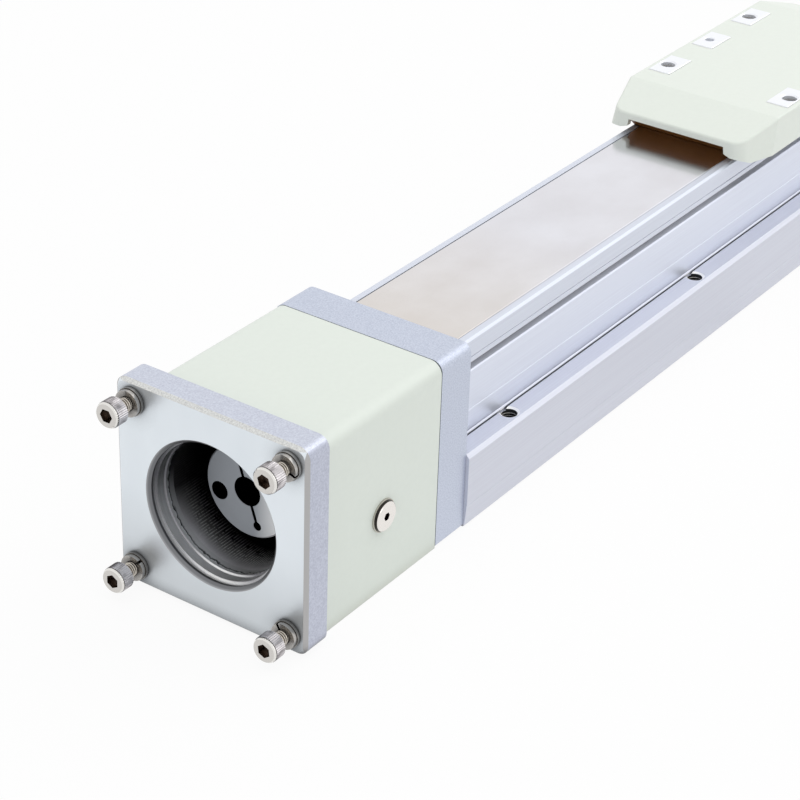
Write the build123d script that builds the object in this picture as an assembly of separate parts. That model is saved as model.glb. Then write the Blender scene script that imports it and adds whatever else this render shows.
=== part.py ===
"""Closed ball screw linear stage with an open motor flange.

Millimetres, +Z up. X runs along the travel, away from the motor flange.
The origin is the centre of the base profile's bottom face.
"""
from math import cos, radians, sin
import os

from build123d import *

# Overall layout along X
BASE_LENGTH = 350.0
BASE_X = BASE_LENGTH / 2
BLOCK_LENGTH = 12.65
END_LENGTH = 12.0
HOUSING_LENGTH = 50.45
PLATE_LENGTH = 8.2
BLOCK_X = -BASE_X - BLOCK_LENGTH
HOUSING_X = BLOCK_X - HOUSING_LENGTH
PLATE_X = HOUSING_X - PLATE_LENGTH
END_X = BASE_X + END_LENGTH

# Heights and widths of the cross-section
AXIS_Z = 29.2
PLATE_SIZE = 58.0
BLOCK_HALF = 26.0
BLOCK_TOP = 54.3
GAUGE = 1.7
BASE_HALF = 27.0
LEDGE_Z = 21.9
WALL_HALF = BASE_HALF - 7.0
WALL_TOP = 40.25
CAVITY_HALF = WALL_HALF - 4.0
STRIP_HALF = WALL_HALF - 1.25
CHANNEL_HALF = 12.3
CHANNEL_FLOOR = 8.0
SHELF_Z = 20.0
RAIL_TOP = 48.5
GUIDE_ROWS = (AXIS_Z - 6.4, AXIS_Z + 6.4)
LEDGE_HOLE_Y = BASE_HALF - 4.2
LEDGE_HOLE_R = 2.25

# Fits
SLIP = 0.1
RUN = 0.3
SEAT = 0.02

# Motor flange and sheet cover: the cover's seams at the plate and at the block
SEAM = (0.15, 0.25)
PILOT_R = 19.1
PILOT_DEPTH = 2.6
CAVITY_R = 18.25
MOTOR_PITCH = 47.14

# Steel belt
BELT_HALF = CAVITY_HALF
BELT_THICK = 0.3
LIP_HALF = BELT_HALF - 2.0
CLAMP_RUN = 6.2
CLAMP_THICK = 1.0

# Ball screw and its bearings
SCREW_R = 6.0
JOURNAL_R = 5.0
TAIL_R = 4.0
BEARING_W = 8.0
BEARING_R = 13.0
SUPPORT_R = 11.0
SUPPORT_W = 7.0
RACE_GAP = 1.3
BEARING_X = BLOCK_X + 9.0
BOSS_X = BLOCK_X - 10.0

# Flexible coupling
COUPLING_R = 12.7
COUPLING_X = PLATE_X + 14.2
COUPLING_ROOM = 28.45
HUB_LENGTH = (HOUSING_LENGTH - COUPLING_ROOM) / 2
CENTRE_LENGTH = 4.0
COUPLING_TURN = -19.0

# Carriage, at its rest position
CARRIAGE_X = 31.0
CARRIAGE_HALF = 58.0
CARRIAGE_TOP = 60.0
COVER_TOP = 59.7
COVER_BOTTOM = 48.9
COVER_WALL = 2.0
COVER_HALF = BASE_HALF - 0.6
COVER_DRAFT = 0.9
COVER_CORNER = 4.5
NOSE_RUN = 16.0
TUNNEL_TOP = 53.3
FLANGE_HALF = BELT_HALF + 7.6
FLANGE_TOP = 51.3
TABLE_TOP = COVER_TOP - 2.2
TABLE_HALF = CARRIAGE_HALF - 18.0
MOUNT_X = 26.5
MOUNT_Y = BELT_HALF + 5.1
BLOCK_RUN = CARRIAGE_HALF - 24.0
CAP_LENGTH = 4.0
NUT_R = 9.0

PARTS = "parts"


# Small helpers


def block(x0, x1, y0, y1, z0, z1):
    """A box between two corners."""
    return Pos((x0 + x1) / 2, (y0 + y1) / 2, (z0 + z1) / 2) * Box(x1 - x0, y1 - y0, z1 - z0)


def rod(x0, x1, radius, y=0.0, z=AXIS_Z):
    """A cylinder along X."""
    return Pos((x0 + x1) / 2, y, z) * Rot(0, 90, 0) * Cylinder(radius, x1 - x0)


def rod_y(y0, y1, radius, x, z):
    """A cylinder along Y."""
    return Pos(x, (y0 + y1) / 2, z) * Rot(90, 0, 0) * Cylinder(radius, y1 - y0)


def rod_z(z0, z1, radius, x, y):
    """A cylinder along Z."""
    return Pos(x, y, (z0 + z1) / 2) * Cylinder(radius, z1 - z0)


def turned(points, y=0.0, z=AXIS_Z):
    """A piece turned about X from (x, radius) points."""
    face = make_face(Polyline(*points, close=True))
    return Pos(0, y, z) * revolve(face, axis=Axis.X)


def section(points, x0, x1):
    """A YZ outline drawn out along X."""
    face = Plane.YZ.offset(x0) * make_face(Polyline(*points, close=True))
    return extrude(face, amount=x1 - x0)


def side_shape(points, y0, y1):
    """An XZ outline drawn out along Y."""
    face = Plane.XZ.offset(-y1) * make_face(Polyline(*points, close=True))
    return extrude(face, amount=y1 - y0)


def mirrored_y(shape):
    """The shape's twin across the middle plane."""
    return mirror(shape, about=Plane.XZ)


def four(y, z0, z1):
    """Four (y, z) places, left and right at two heights."""
    return [(side * y, z) for z in (z0, z1) for side in (-1, 1)]


def cap_screw(head_x, way, size, length, y, z):
    """A socket-head screw along X: way +1 points its shank to +X."""
    radius, head_r, head_h, hexagon = size
    head = rod(0, head_h, head_r, 0, 0)
    ends = head.faces().sort_by(Axis.X)
    head = chamfer(ends[0].edges(), 0.3)
    socket = Rot(0, 90, 0) * extrude(RegularPolygon(hexagon / 2, 6, major_radius=False), amount=head_h * 0.55)
    shank = rod(head_h, head_h + length, radius, 0, 0)
    tip = shank.faces().sort_by(Axis.X)[-1]
    screw = head - socket + chamfer(tip.edges(), 0.4)
    if way < 0:
        screw = Rot(0, 180, 0) * screw
    return Pos(head_x, y, z) * screw


# Screw sizes: shank radius, head radius, head height, hexagon across flats
M3 = (1.4, 2.75, 3.0, 2.5)
M4 = (1.9, 3.5, 4.0, 3.0)
CLAMP_SCREW_R = 1.3
SINK = 0.3


def save(name, *solids):
    """Write one node, one or more separate solids."""
    shape = solids[0] if len(solids) == 1 else Compound(children=list(solids))
    export_step(shape, os.path.join(PARTS, name + ".step"))


# Motor flange end

MOTOR_PLACES = four(MOTOR_PITCH / 2, AXIS_Z - MOTOR_PITCH / 2, AXIS_Z + MOTOR_PITCH / 2)
HOUSING_PLACES = four(15.5, AXIS_Z - 20.5, AXIS_Z + 20.5)
PROFILE_PLACES = [(-21.8, 15.5), (21.8, 15.5), (-8.0, 4.4), (8.0, 4.4)]
RETAINER_PLACES = [(15.4 * cos(radians(a)), AXIS_Z + 15.4 * sin(radians(a))) for a in (45, 135, 225, 315)]
COVER_SCREW_X = HOUSING_X + 26.6
COVER_SCREW_Z = 22.2


def motor_plate():
    """Square flange with the motor pilot recess and four tapped holes."""
    half = PLATE_SIZE / 2
    plate = block(PLATE_X, HOUSING_X, -half, half, AXIS_Z - half, AXIS_Z + half)
    plate = fillet(plate.edges().filter_by(Axis.X), 3.2)
    front = plate.faces().sort_by(Axis.X)[0]
    plate = chamfer(front.edges(), 0.9)
    inner = CAVITY_R
    plate -= turned([
        (PLATE_X - 1, 0), (PLATE_X - 1, PILOT_R + 1.9), (PLATE_X + 0.9, PILOT_R),
        (PLATE_X + PILOT_DEPTH, PILOT_R), (PLATE_X + PILOT_DEPTH, inner + 0.35),
        (PLATE_X + 5.0, inner + 0.35), (PLATE_X + 5.4, inner), (HOUSING_X + 1, inner), (HOUSING_X + 1, 0),
    ])
    for y, z in MOTOR_PLACES:
        plate -= rod(PLATE_X - 1, HOUSING_X + 1, M4[0] + SLIP, y, z)
    for y, z in HOUSING_PLACES:
        plate -= rod(HOUSING_X - 5, HOUSING_X + 1, M4[0] + SLIP, y, z)
    return plate


def motor_screw_sets():
    """Four screws left half out, each with a split washer and a flat one."""
    screws, split, flat = [], [], []
    head = PLATE_X - 9.4
    for number, (y, z) in enumerate(MOTOR_PLACES):
        screws.append(cap_screw(head, 1, M4, 12.0, y, z))
        ring = rod(PLATE_X - 2.1, PLATE_X - 1.0, 3.5, y, z) - rod(PLATE_X - 3, PLATE_X, M4[0] + SLIP, y, z)
        turn = Rot(60 + 70 * number, 0, 0) * Rot(0, 0, 20)
        gap = Pos(PLATE_X - 1.5, y, z) * turn * Pos(0, 3.2, 0) * Box(4, 3.5, 0.7)
        split.append(ring - gap)
        flat.append(rod(PLATE_X - 0.95, PLATE_X - 0.05, 3.75, y, z) - rod(PLATE_X - 2, PLATE_X + 1, M4[0] + SLIP, y, z))
    return screws, split, flat


def coupling_housing():
    """Machined block around the coupling, bored from the flange side."""
    half = BLOCK_HALF - GAUGE
    body = block(HOUSING_X, BLOCK_X, -half, half, 0.0, BLOCK_TOP - GAUGE)
    body = fillet(body.edges().filter_by(Axis.X).sort_by(Axis.Z)[-2:], 2.0)
    body -= rod(HOUSING_X - 1, BLOCK_X + 1, CAVITY_R)
    for y, z in HOUSING_PLACES:
        body -= rod(HOUSING_X - 1, BLOCK_X + 1, M4[0] + SLIP, y, z)
    for side in (-1, 1):
        body -= Pos(COVER_SCREW_X, side * (half - 2.3), COVER_SCREW_Z) * Rot(90, 0, 0) * Cylinder(2.4 + SLIP, 6)
    return body


def housing_cover():
    """Painted sheet cover over the top and both sides of the housing."""
    outer = block(HOUSING_X + SEAM[0], BLOCK_X - SEAM[1], -BLOCK_HALF, BLOCK_HALF, 0.0, BLOCK_TOP)
    outer = fillet(outer.edges().filter_by(Axis.X).sort_by(Axis.Z)[-2:], 3.5)
    half = BLOCK_HALF - GAUGE + SLIP
    inner = block(HOUSING_X - 1, BLOCK_X + 1, -half, half, -1.0, BLOCK_TOP - GAUGE + SLIP)
    inner = fillet(inner.edges().filter_by(Axis.X).sort_by(Axis.Z)[-2:], 2.0)
    cover = outer - inner
    for side in (-1, 1):
        y = side * (BLOCK_HALF - 0.8)
        cover -= rod_y(y - 2, y + 2, 2.7, COVER_SCREW_X, COVER_SCREW_Z)
    return cover


def cover_screw(side):
    """Low flat-head screw through the side of the cover."""
    disc = [(0, 0), (4.5, 0), (4.5, 0.3), (4.15, 0.4), (4.0, 1.0), (3.7, 1.2), (0, 1.2)]
    head = revolve(make_face(Polyline(*disc, close=True)), axis=Axis.Y)
    socket = Pos(0, -0.4, 0) * Rot(-90, 0, 0) * extrude(RegularPolygon(1.0, 6, major_radius=False), amount=2)
    screw = head + rod_y(-5.5, 0, 2.4, 0, 0) - socket
    if side < 0:
        screw = Rot(180, 0, 0) * screw
    return Pos(COVER_SCREW_X, side * BLOCK_HALF, COVER_SCREW_Z) * screw


# Bearing block and its bearings


def end_outline(x0, x1):
    """Rounded slab shared by the bearing block and the end block."""
    slab = block(x0, x1, -BLOCK_HALF, BLOCK_HALF, 0.0, BLOCK_TOP)
    slab = fillet(slab.edges().filter_by(Axis.X).sort_by(Axis.Z)[-2:], 3.0)
    return fillet(slab.edges().filter_by(Axis.X).sort_by(Axis.Z)[:2], 1.0)


def bearing_block():
    """Fixed-side block with the bearing boss reaching into the housing."""
    body = end_outline(BLOCK_X, -BASE_X)
    body += rod(BOSS_X, BLOCK_X + 1, CAVITY_R - 0.15)
    body -= rod(BOSS_X - 1, BEARING_X, BEARING_R)
    body -= rod(BEARING_X - 1, -BASE_X + 1, 9.0)
    for y, z in HOUSING_PLACES:
        body -= rod(BLOCK_X - 1, -BASE_X + 1, M4[0] + SLIP, y, z)
        body -= rod(-BASE_X - M4[2] - SINK, -BASE_X + 1, M4[1] + SLIP, y, z)
    for y, z in PROFILE_PLACES:
        body -= rod(BLOCK_X - 1, -BASE_X + 1, M4[0] + SLIP, y, z)
        body -= rod(BLOCK_X - 1, BLOCK_X + M4[2] + SINK, M4[1] + SLIP, y, z)
    for y, z in RETAINER_PLACES:
        body -= rod(BOSS_X - 1, BOSS_X + 7, M3[0] + SLIP, y, z)
    return body


def bearing_ring(x0, width, inner, outer, groove_at):
    """One bearing ring with its ball groove on the side given by groove_at."""
    ring = rod(x0, x0 + width, outer) - rod(x0 - 1, x0 + width + 1, inner)
    race = Pos(x0 + width / 2, 0, AXIS_Z) * Rot(0, 90, 0) * Torus(groove_at, width * 0.24)
    return ring - race


def fixed_bearings():
    """Two 10 x 26 x 8 bearings side by side: outer and inner rings."""
    outer, inner = [], []
    pitch = (BEARING_R + JOURNAL_R) / 2
    for number in (1, 2):
        x0 = BEARING_X - number * BEARING_W
        outer.append(bearing_ring(x0, BEARING_W, pitch + RACE_GAP, BEARING_R - SEAT, pitch))
        inner.append(bearing_ring(x0, BEARING_W, JOURNAL_R + SEAT, pitch - RACE_GAP, pitch))
    return outer, inner


def support_bearing():
    """Outer and inner ring of the 8 x 22 x 7 bearing at the far end."""
    x0, pitch = BASE_X + RUN, (SUPPORT_R + TAIL_R) / 2
    outer = bearing_ring(x0, SUPPORT_W, pitch + RACE_GAP, SUPPORT_R - SEAT, pitch)
    return outer, bearing_ring(x0, SUPPORT_W, TAIL_R + SEAT, pitch - RACE_GAP, pitch)


def bearing_retainer():
    """Flanged ring that holds the outer rings in the boss."""
    nose_x = BEARING_X - 2 * BEARING_W
    ring = rod(BOSS_X - 3, BOSS_X, CAVITY_R - 0.4) + rod(BOSS_X - 1, nose_x, BEARING_R - SLIP)
    ring -= rod(BOSS_X - 4, nose_x + 1, 10.0)
    for y, z in RETAINER_PLACES:
        ring -= rod(BOSS_X - 4, BOSS_X + 1, M3[0] + SLIP, y, z)
    return ring


def retainer_screws():
    """Four M3 pan-head screws on the retainer."""
    screws = []
    for y, z in RETAINER_PLACES:
        head = rod(BOSS_X - 4.6, BOSS_X - 3, 2.4, y, z)
        head = chamfer(head.faces().sort_by(Axis.X)[0].edges(), 0.5)
        screws.append(head + rod(BOSS_X - 3, BOSS_X + 5, M3[0], y, z))
    return screws


def lock_nut():
    """Slotted round nut on the fixed journal."""
    x0 = BEARING_X - 2 * BEARING_W - 3.0
    nut = rod(x0 - 6.0, x0, 8.6) - rod(x0 - 7, x0 + 1, JOURNAL_R + SEAT)
    nut = chamfer(nut.faces().sort_by(Axis.X)[0].edges(), 0.4)
    for turn in (0, 90, 180, 270):
        nut -= Pos(x0 - 3.0, 0, AXIS_Z) * Rot(turn, 0, 0) * Pos(0, 0, 8.6) * Box(7, 3, 3)
    return nut


def journal_spacer():
    """Sleeve between the lock nut and the bearings."""
    x1 = BEARING_X - 2 * BEARING_W
    return rod(x1 - 3.0, x1, 7.2) - rod(x1 - 4, x1 + 1, JOURNAL_R + SEAT)


# Flexible coupling


def coupling_hub(x0, bore, screw_x):
    """Clamp hub: slit through the bore to a relief hole, two access holes."""
    hub = rod(x0, x0 + HUB_LENGTH, COUPLING_R, 0, 0) - rod(x0 - 1, x0 + HUB_LENGTH + 1, bore, 0, 0)
    rims = [e for e in hub.edges().filter_by(GeomType.CIRCLE) if e.radius > bore + 0.1]
    hub = chamfer(rims, 0.4)
    hub -= block(x0 - 1, x0 + HUB_LENGTH + 1, -0.45, 0.45, -9.4, COUPLING_R + 1)
    hub -= rod(x0 - 1, x0 + HUB_LENGTH + 1, 1.2, 0, -9.4)
    for side in (-1, 1):
        hub -= rod(x0 - 1, x0 + HUB_LENGTH + 1, 2.5, side * 9.1, 0)
    hub -= rod_y(-COUPLING_R, COUPLING_R, M3[0] + SLIP, screw_x, 8.4)
    hub -= rod_y(3.6, COUPLING_R, M3[1] + SLIP, screw_x, 8.4)
    return Pos(0, 0, AXIS_Z) * Rot(COUPLING_TURN, 0, 0) * hub


def clamp_screw(screw_x):
    """Socket-head screw across the hub's slit."""
    head = rod_y(3.7, 6.7, M3[1] - 0.05, 0, 0)
    socket = Pos(0, 6.8, 0) * Rot(90, 0, 0) * extrude(RegularPolygon(M3[3] / 2, 6, major_radius=False), amount=1.7)
    screw = head - socket + rod_y(-7.0, 3.7, M3[0], 0, 0)
    return Pos(0, 0, AXIS_Z) * Rot(COUPLING_TURN, 0, 0) * Pos(screw_x, 0, 8.4) * screw


def coupling_middle():
    """Two spring discs and the solid ring between them."""
    x0 = COUPLING_X + HUB_LENGTH
    thin = 0.6
    discs = []
    for x in (x0, x0 + CENTRE_LENGTH - thin):
        disc = rod(x, x + thin, COUPLING_R - 0.4) - rod(x - 1, x + 1, 6.6)
        discs.append(disc)
    ring = rod(x0 + thin, x0 + CENTRE_LENGTH - thin, COUPLING_R) - rod(x0, x0 + CENTRE_LENGTH, 6.6)
    return discs, ring


# Base, guides and belt


def base_profile():
    """Extruded channel with an outer ledge along each side."""
    right = [
        (0, 0), (BASE_HALF - 1.0, 0), (BASE_HALF - 0.6, 0.4), (BASE_HALF - 0.1, 6.2), (BASE_HALF - 0.25, 6.45),
        (BASE_HALF, 6.7), (BASE_HALF, LEDGE_Z - 1), (BASE_HALF - 1, LEDGE_Z), (WALL_HALF + 0.95, LEDGE_Z),
        (WALL_HALF + 0.95, LEDGE_Z - 0.9), (WALL_HALF + 0.35, LEDGE_Z - 0.9), (WALL_HALF + 0.35, LEDGE_Z),
        (WALL_HALF, LEDGE_Z + 0.4), (WALL_HALF, 28.4), (WALL_HALF - 0.15, 28.6), (WALL_HALF, 28.8),
        (WALL_HALF, 38.2), (WALL_HALF - 0.1, WALL_TOP - 0.35), (WALL_HALF - 0.4, WALL_TOP),
        (CAVITY_HALF, WALL_TOP), (CAVITY_HALF, SHELF_Z), (CHANNEL_HALF, SHELF_Z),
        (CHANNEL_HALF, CHANNEL_FLOOR + 1), (CHANNEL_HALF - 1, CHANNEL_FLOOR),
    ]
    left = [(-y, z) for y, z in reversed(right[1:])]
    body = section(right + left, -BASE_X, BASE_X)
    for x in (-150.0, -50.0, 50.0, 150.0):
        for side in (-1, 1):
            y = side * LEDGE_HOLE_Y
            body -= rod_z(-1, LEDGE_Z + 1, LEDGE_HOLE_R, x, y)
            body -= Pos(x, y, LEDGE_Z - 0.2) * Cone(LEDGE_HOLE_R, LEDGE_HOLE_R + 0.7, 0.4)
            body -= Pos(x, y, 0.3) * Cone(LEDGE_HOLE_R + 0.6, LEDGE_HOLE_R, 0.6)
    for y, z in PROFILE_PLACES:
        for x0, x1 in ((-BASE_X - 1, -BASE_X + 12), (BASE_X - 12, BASE_X + 1)):
            body -= rod(x0, x1, M4[0] + SLIP, y, z)
    return body


def side_cover():
    """Top strip of the left wall, with the lip that carries the belt."""
    top, lip = RAIL_TOP, RAIL_TOP - BELT_THICK
    outer = STRIP_HALF
    foot = WALL_TOP + 1.35
    points = [
        (CAVITY_HALF, WALL_TOP), (outer - 1.1, WALL_TOP), (outer - 1.1, foot), (outer + 0.15, foot),
        (outer, foot + 1.2), (outer - 0.3, foot + 1.35), (outer, foot + 1.55), (outer, top - 0.6),
        (outer - 0.6, top), (BELT_HALF + RUN, top), (BELT_HALF + RUN, lip), (LIP_HALF, lip), (LIP_HALF, lip - 1.4),
        (CAVITY_HALF - 0.6, lip - 2.2), (CAVITY_HALF - 0.6, 43.4), (CAVITY_HALF, 42.8),
    ]
    return section(points, -BASE_X, BASE_X)


def guide_rail():
    """Hardened rail of the left side with its two ball grooves."""
    inner = CHANNEL_HALF - 0.2
    points = [
        (inner + 0.4, SHELF_Z), (CAVITY_HALF - 0.4, SHELF_Z), (CAVITY_HALF, SHELF_Z + 0.4), (CAVITY_HALF, 38.0),
        (CAVITY_HALF - 0.4, 38.4), (inner + 0.8, 38.4), (inner, 37.6), (inner, SHELF_Z + 0.4),
    ]
    rail = section(points, -BASE_X, BASE_X)
    for z in GUIDE_ROWS:
        rail -= rod(-BASE_X - 1, BASE_X + 1, 1.2, inner - 0.15, z)
    return rail


def belt_piece(x0, x1):
    """Flat run of the steel belt between two X places."""
    return block(x0, x1, -BELT_HALF, BELT_HALF, RAIL_TOP - BELT_THICK, RAIL_TOP)


def belt_hump():
    """The part of the belt that the carriage lifts over its neck."""
    low, high = RAIL_TOP, FLANGE_TOP + 0.5 + BELT_THICK
    end = -CARRIAGE_HALF
    stations = [(end + 6, low), (end + 10, low), (end + 13, low + 0.5), (end + 17.5, high - 0.6), (end + 21, high)]
    top = stations + [(-x, z) for x, z in reversed(stations)]
    under = [(x, z - BELT_THICK) for x, z in reversed(top)]
    return Pos(CARRIAGE_X, 0, 0) * side_shape(top + under, -BELT_HALF, BELT_HALF)


def belt_anchor(side):
    """Block in the slot, clamp bar on the belt and its two screws."""
    inner = BASE_X - CLAMP_RUN
    top = RAIL_TOP + CLAMP_THICK
    a, b = sorted((side * BASE_X, side * (inner - 3)))
    anchor = block(a, b, -LIP_HALF + SLIP, LIP_HALF - SLIP, 42.0, RAIL_TOP - BELT_THICK)
    a, b = sorted((side * BASE_X, side * inner))
    bar = block(a, b, -BELT_HALF + 0.5, BELT_HALF - 0.5, RAIL_TOP, top)
    bar = chamfer(bar.edges().filter_by(Axis.Y).group_by(Axis.Z)[-1], 0.3)
    screws = []
    middle = side * (inner + CLAMP_RUN / 2)
    for y in (-10.0, 10.0):
        anchor -= rod_z(43.0, 50, CLAMP_SCREW_R + SLIP, middle, y)
        bar -= rod_z(48, 52, CLAMP_SCREW_R + SLIP, middle, y)
        bar -= Pos(middle, y, top - 0.45) * Cone(CLAMP_SCREW_R + SLIP, 2.3 + SLIP, 0.9)
        head = Pos(middle, y, top - 0.45) * Cone(CLAMP_SCREW_R, 2.3, 0.9)
        slot = Pos(middle, y, top) * (Box(2.4, 0.6, 1.0) + Box(0.6, 2.4, 1.0))
        screws.append(head - slot + rod_z(44.0, top - 0.8, CLAMP_SCREW_R, middle, y))
    return anchor, bar, screws


def belt_end(side):
    """Flat belt end under a clamp bar, with the two screw holes."""
    if side < 0:
        run = belt_piece(-BASE_X + SLIP, CARRIAGE_X - CARRIAGE_HALF + 6)
    else:
        run = belt_piece(CARRIAGE_X + CARRIAGE_HALF - 6, BASE_X - SLIP)
    for y in (-10.0, 10.0):
        run -= rod_z(47, 50, CLAMP_SCREW_R + SLIP, side * (BASE_X - CLAMP_RUN / 2), y)
    return run


def bumper(side):
    """Rubber ring on the end wall around the screw."""
    a, b = sorted((side * BASE_X, side * (BASE_X - 5)))
    ring = rod(a, b, 11.6) - rod(a - 1, b + 1, 7.6)
    inner = ring.faces().sort_by(Axis.X)[0 if side > 0 else -1]
    return fillet(inner.edges(), 0.8)


# Ball screw


def ball_screw():
    """Turned shaft: thread cylinder, bearing journals and coupling tail."""
    shoulder = BEARING_X
    journal_x = BEARING_X - 2 * BEARING_W - 9.6
    tail_x = COUPLING_X + HUB_LENGTH + CENTRE_LENGTH + 0.5
    far = BASE_X + SUPPORT_W + 0.4
    return turned([
        (tail_x, 0), (tail_x, TAIL_R - 0.5), (tail_x + 0.5, TAIL_R), (journal_x, TAIL_R),
        (journal_x, JOURNAL_R), (shoulder, JOURNAL_R), (shoulder, SCREW_R), (BASE_X - 1.0, SCREW_R),
        (BASE_X - 0.5, SCREW_R - 0.5), (BASE_X, TAIL_R), (far - 0.5, TAIL_R), (far, TAIL_R - 0.5), (far, 0),
    ])


def end_block():
    """Support-side block with its bearing pocket."""
    body = end_outline(BASE_X, END_X)
    body = chamfer(body.faces().sort_by(Axis.X)[-1].edges(), 0.5)
    body -= rod(BASE_X - 1, BASE_X + SUPPORT_W + 0.5, SUPPORT_R)
    for y, z in PROFILE_PLACES:
        body -= rod(BASE_X - 1, END_X + 1, M4[0] + SLIP, y, z)
        body -= rod(END_X - M4[2] - SINK, END_X + 1, M4[1] + SLIP, y, z)
    return body


# Carriage


def guide_block():
    """Inner block between the rails, neck through the slot, flange on top."""
    half, neck, flange = CHANNEL_HALF - 0.5, LIP_HALF - 0.4, FLANGE_HALF
    low = CHANNEL_FLOOR + 5.5
    right = [
        (half - 0.5, low), (half, low + 0.5), (half, WALL_TOP - 1.25), (neck, WALL_TOP - 0.05),
        (neck, COVER_BOTTOM), (flange, COVER_BOTTOM),
        (flange, FLANGE_TOP), (0, FLANGE_TOP),
    ]
    outline = right + [(-y, z) for y, z in reversed(right[:-1])]
    body = section(outline, -BLOCK_RUN, BLOCK_RUN)
    body -= rod(-BLOCK_RUN - 1, BLOCK_RUN + 1, NUT_R + SLIP)
    for side in (-1, 1):
        for z in GUIDE_ROWS:
            body -= rod(-BLOCK_RUN - 1, BLOCK_RUN + 1, 1.2, side * (half + 0.15), z)
        for x in (-13.0, 13.0):
            body -= rod_z(48, 52, M4[0] + SLIP, x, side * TABLE_SCREW_Y)
    for y, z in NUT_PLACES:
        body -= rod(-BLOCK_RUN - 1, -BLOCK_RUN + 10, M3[0] + SLIP, y, z)
    return Pos(CARRIAGE_X, 0, 0) * body


TABLE_SCREW_Y = BELT_HALF + 4.0
NUT_PLACES = four(8.1, AXIS_Z - 8.1, AXIS_Z + 8.1)


def guide_cap(side):
    """Plastic ball-return cap on one end of the guide block."""
    half = CHANNEL_HALF - 0.6
    x0 = BLOCK_RUN if side > 0 else -BLOCK_RUN - CAP_LENGTH
    cap = block(x0, x0 + CAP_LENGTH, -half, half, 14.0, 38.6)
    cap = fillet(cap.edges().filter_by(Axis.X), 1.0)
    cap -= rod(x0 - 1, x0 + CAP_LENGTH + 1, NUT_R + SLIP)
    if side < 0:
        for y, z in NUT_PLACES:
            cap -= rod(x0 - 1, x0 + CAP_LENGTH + 1, M3[0] + SLIP, y, z)
    return Pos(CARRIAGE_X, 0, 0) * cap


def ball_nut():
    """Flanged ball nut on the motor side of the guide block."""
    flange_x = -BLOCK_RUN - CAP_LENGTH
    flange = block(flange_x - 5, flange_x, -11.4, 11.4, AXIS_Z - 11.4, AXIS_Z + 11.4)
    flange = fillet(flange.edges().filter_by(Axis.X), 2.5)
    nut = flange + rod(flange_x, flange_x + 34, NUT_R)
    nut -= rod(flange_x - 6, flange_x + 35, SCREW_R + RUN)
    for y, z in NUT_PLACES:
        nut -= rod(flange_x - 6, flange_x + 1, M3[0] + SLIP, y, z)
    return Pos(CARRIAGE_X, 0, 0) * nut


def nut_screws():
    """Four screws through the nut flange and the cap into the block."""
    head = CARRIAGE_X - BLOCK_RUN - CAP_LENGTH - 5 - M3[2]
    return [cap_screw(head, 1, M3, 18.0, y, z) for y, z in NUT_PLACES]


PADS = [(x, 7.0 if x else 6.4) for x in (-MOUNT_X, 0.0, MOUNT_X)]
PAD_Y = (BELT_HALF + 0.8, BELT_HALF + 8.0)


def carriage_table():
    """Aluminium table: slab, two legs and six raised machined pads."""
    leg = BELT_HALF + 0.8
    body = block(-TABLE_HALF, TABLE_HALF, -FLANGE_HALF, FLANGE_HALF, FLANGE_TOP + 1.6, TABLE_TOP)
    body += block(-BLOCK_RUN, BLOCK_RUN, -FLANGE_HALF, FLANGE_HALF, FLANGE_TOP, FLANGE_TOP + 1.7)
    body -= block(-TABLE_HALF - 1, TABLE_HALF + 1, -leg, leg, FLANGE_TOP - 1, FLANGE_TOP + 1.6)
    for side in (-1, 1):
        for x, half in PADS:
            y0, y1 = sorted((side * PAD_Y[0], side * PAD_Y[1]))
            pad = block(x - half, x + half, y0, y1, TABLE_TOP - 1, CARRIAGE_TOP)
            body += chamfer(pad.faces().sort_by(Axis.Z)[-1].edges(), 0.2)
    for side in (-1, 1):
        y = side * MOUNT_Y
        for x in (-MOUNT_X, MOUNT_X):
            body -= rod_z(CARRIAGE_TOP - 8, CARRIAGE_TOP + 1, 2.25, x, y)
            body -= Pos(x, y, CARRIAGE_TOP - 0.2) * Cone(2.25, 2.75, 0.4)
        body -= rod_z(CARRIAGE_TOP - 6, CARRIAGE_TOP + 1, 1.5, 0, y)
        body -= Pos(0, y, CARRIAGE_TOP - 0.15) * Cone(1.5, 1.8, 0.3)
        for x in (-13.0, 13.0):
            body -= rod_z(FLANGE_TOP - 1, TABLE_TOP + 1, M4[0] + SLIP, x, side * TABLE_SCREW_Y)
            body -= rod_z(TABLE_TOP - M4[2] - 0.1, TABLE_TOP + 1, M4[1] + SLIP, x, side * TABLE_SCREW_Y)
    return Pos(CARRIAGE_X, 0, 0) * body


def table_screws():
    """Four screws that hold the table down on the guide block's flange."""
    screws = []
    for side in (-1, 1):
        for x in (-13.0, 13.0):
            head = rod_z(TABLE_TOP - M4[2] - 0.1, TABLE_TOP - 0.1, M4[1], 0, 0)
            socket = Pos(0, 0, TABLE_TOP - 2.3) * extrude(RegularPolygon(M4[3] / 2, 6, major_radius=False), amount=3)
            shank = rod_z(COVER_BOTTOM + 0.1, TABLE_TOP - M4[2] - 0.1, M4[0], 0, 0)
            screws.append(Pos(CARRIAGE_X + x, side * TABLE_SCREW_Y, 0) * (head - socket + shank))
    return screws


def nose_trim(inset):
    """Slanting cut that narrows one nose corner of the carriage, +X +Y."""
    top = Vector(CARRIAGE_HALF - NOSE_RUN, COVER_HALF - COVER_DRAFT - inset, COVER_TOP)
    tip = Vector(CARRIAGE_HALF - 1.0, COVER_HALF - 4.6 - inset, COVER_TOP - 4.3)
    low = Vector(CARRIAGE_HALF - 9.2, COVER_HALF - 1.0 - inset, COVER_BOTTOM)
    outward = (low - top).cross(tip - top).normalized()
    return Plane(origin=top, z_dir=outward if outward.Y > 0 else -outward) * Pos(0, 0, 15) * Box(60, 60, 30)


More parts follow.
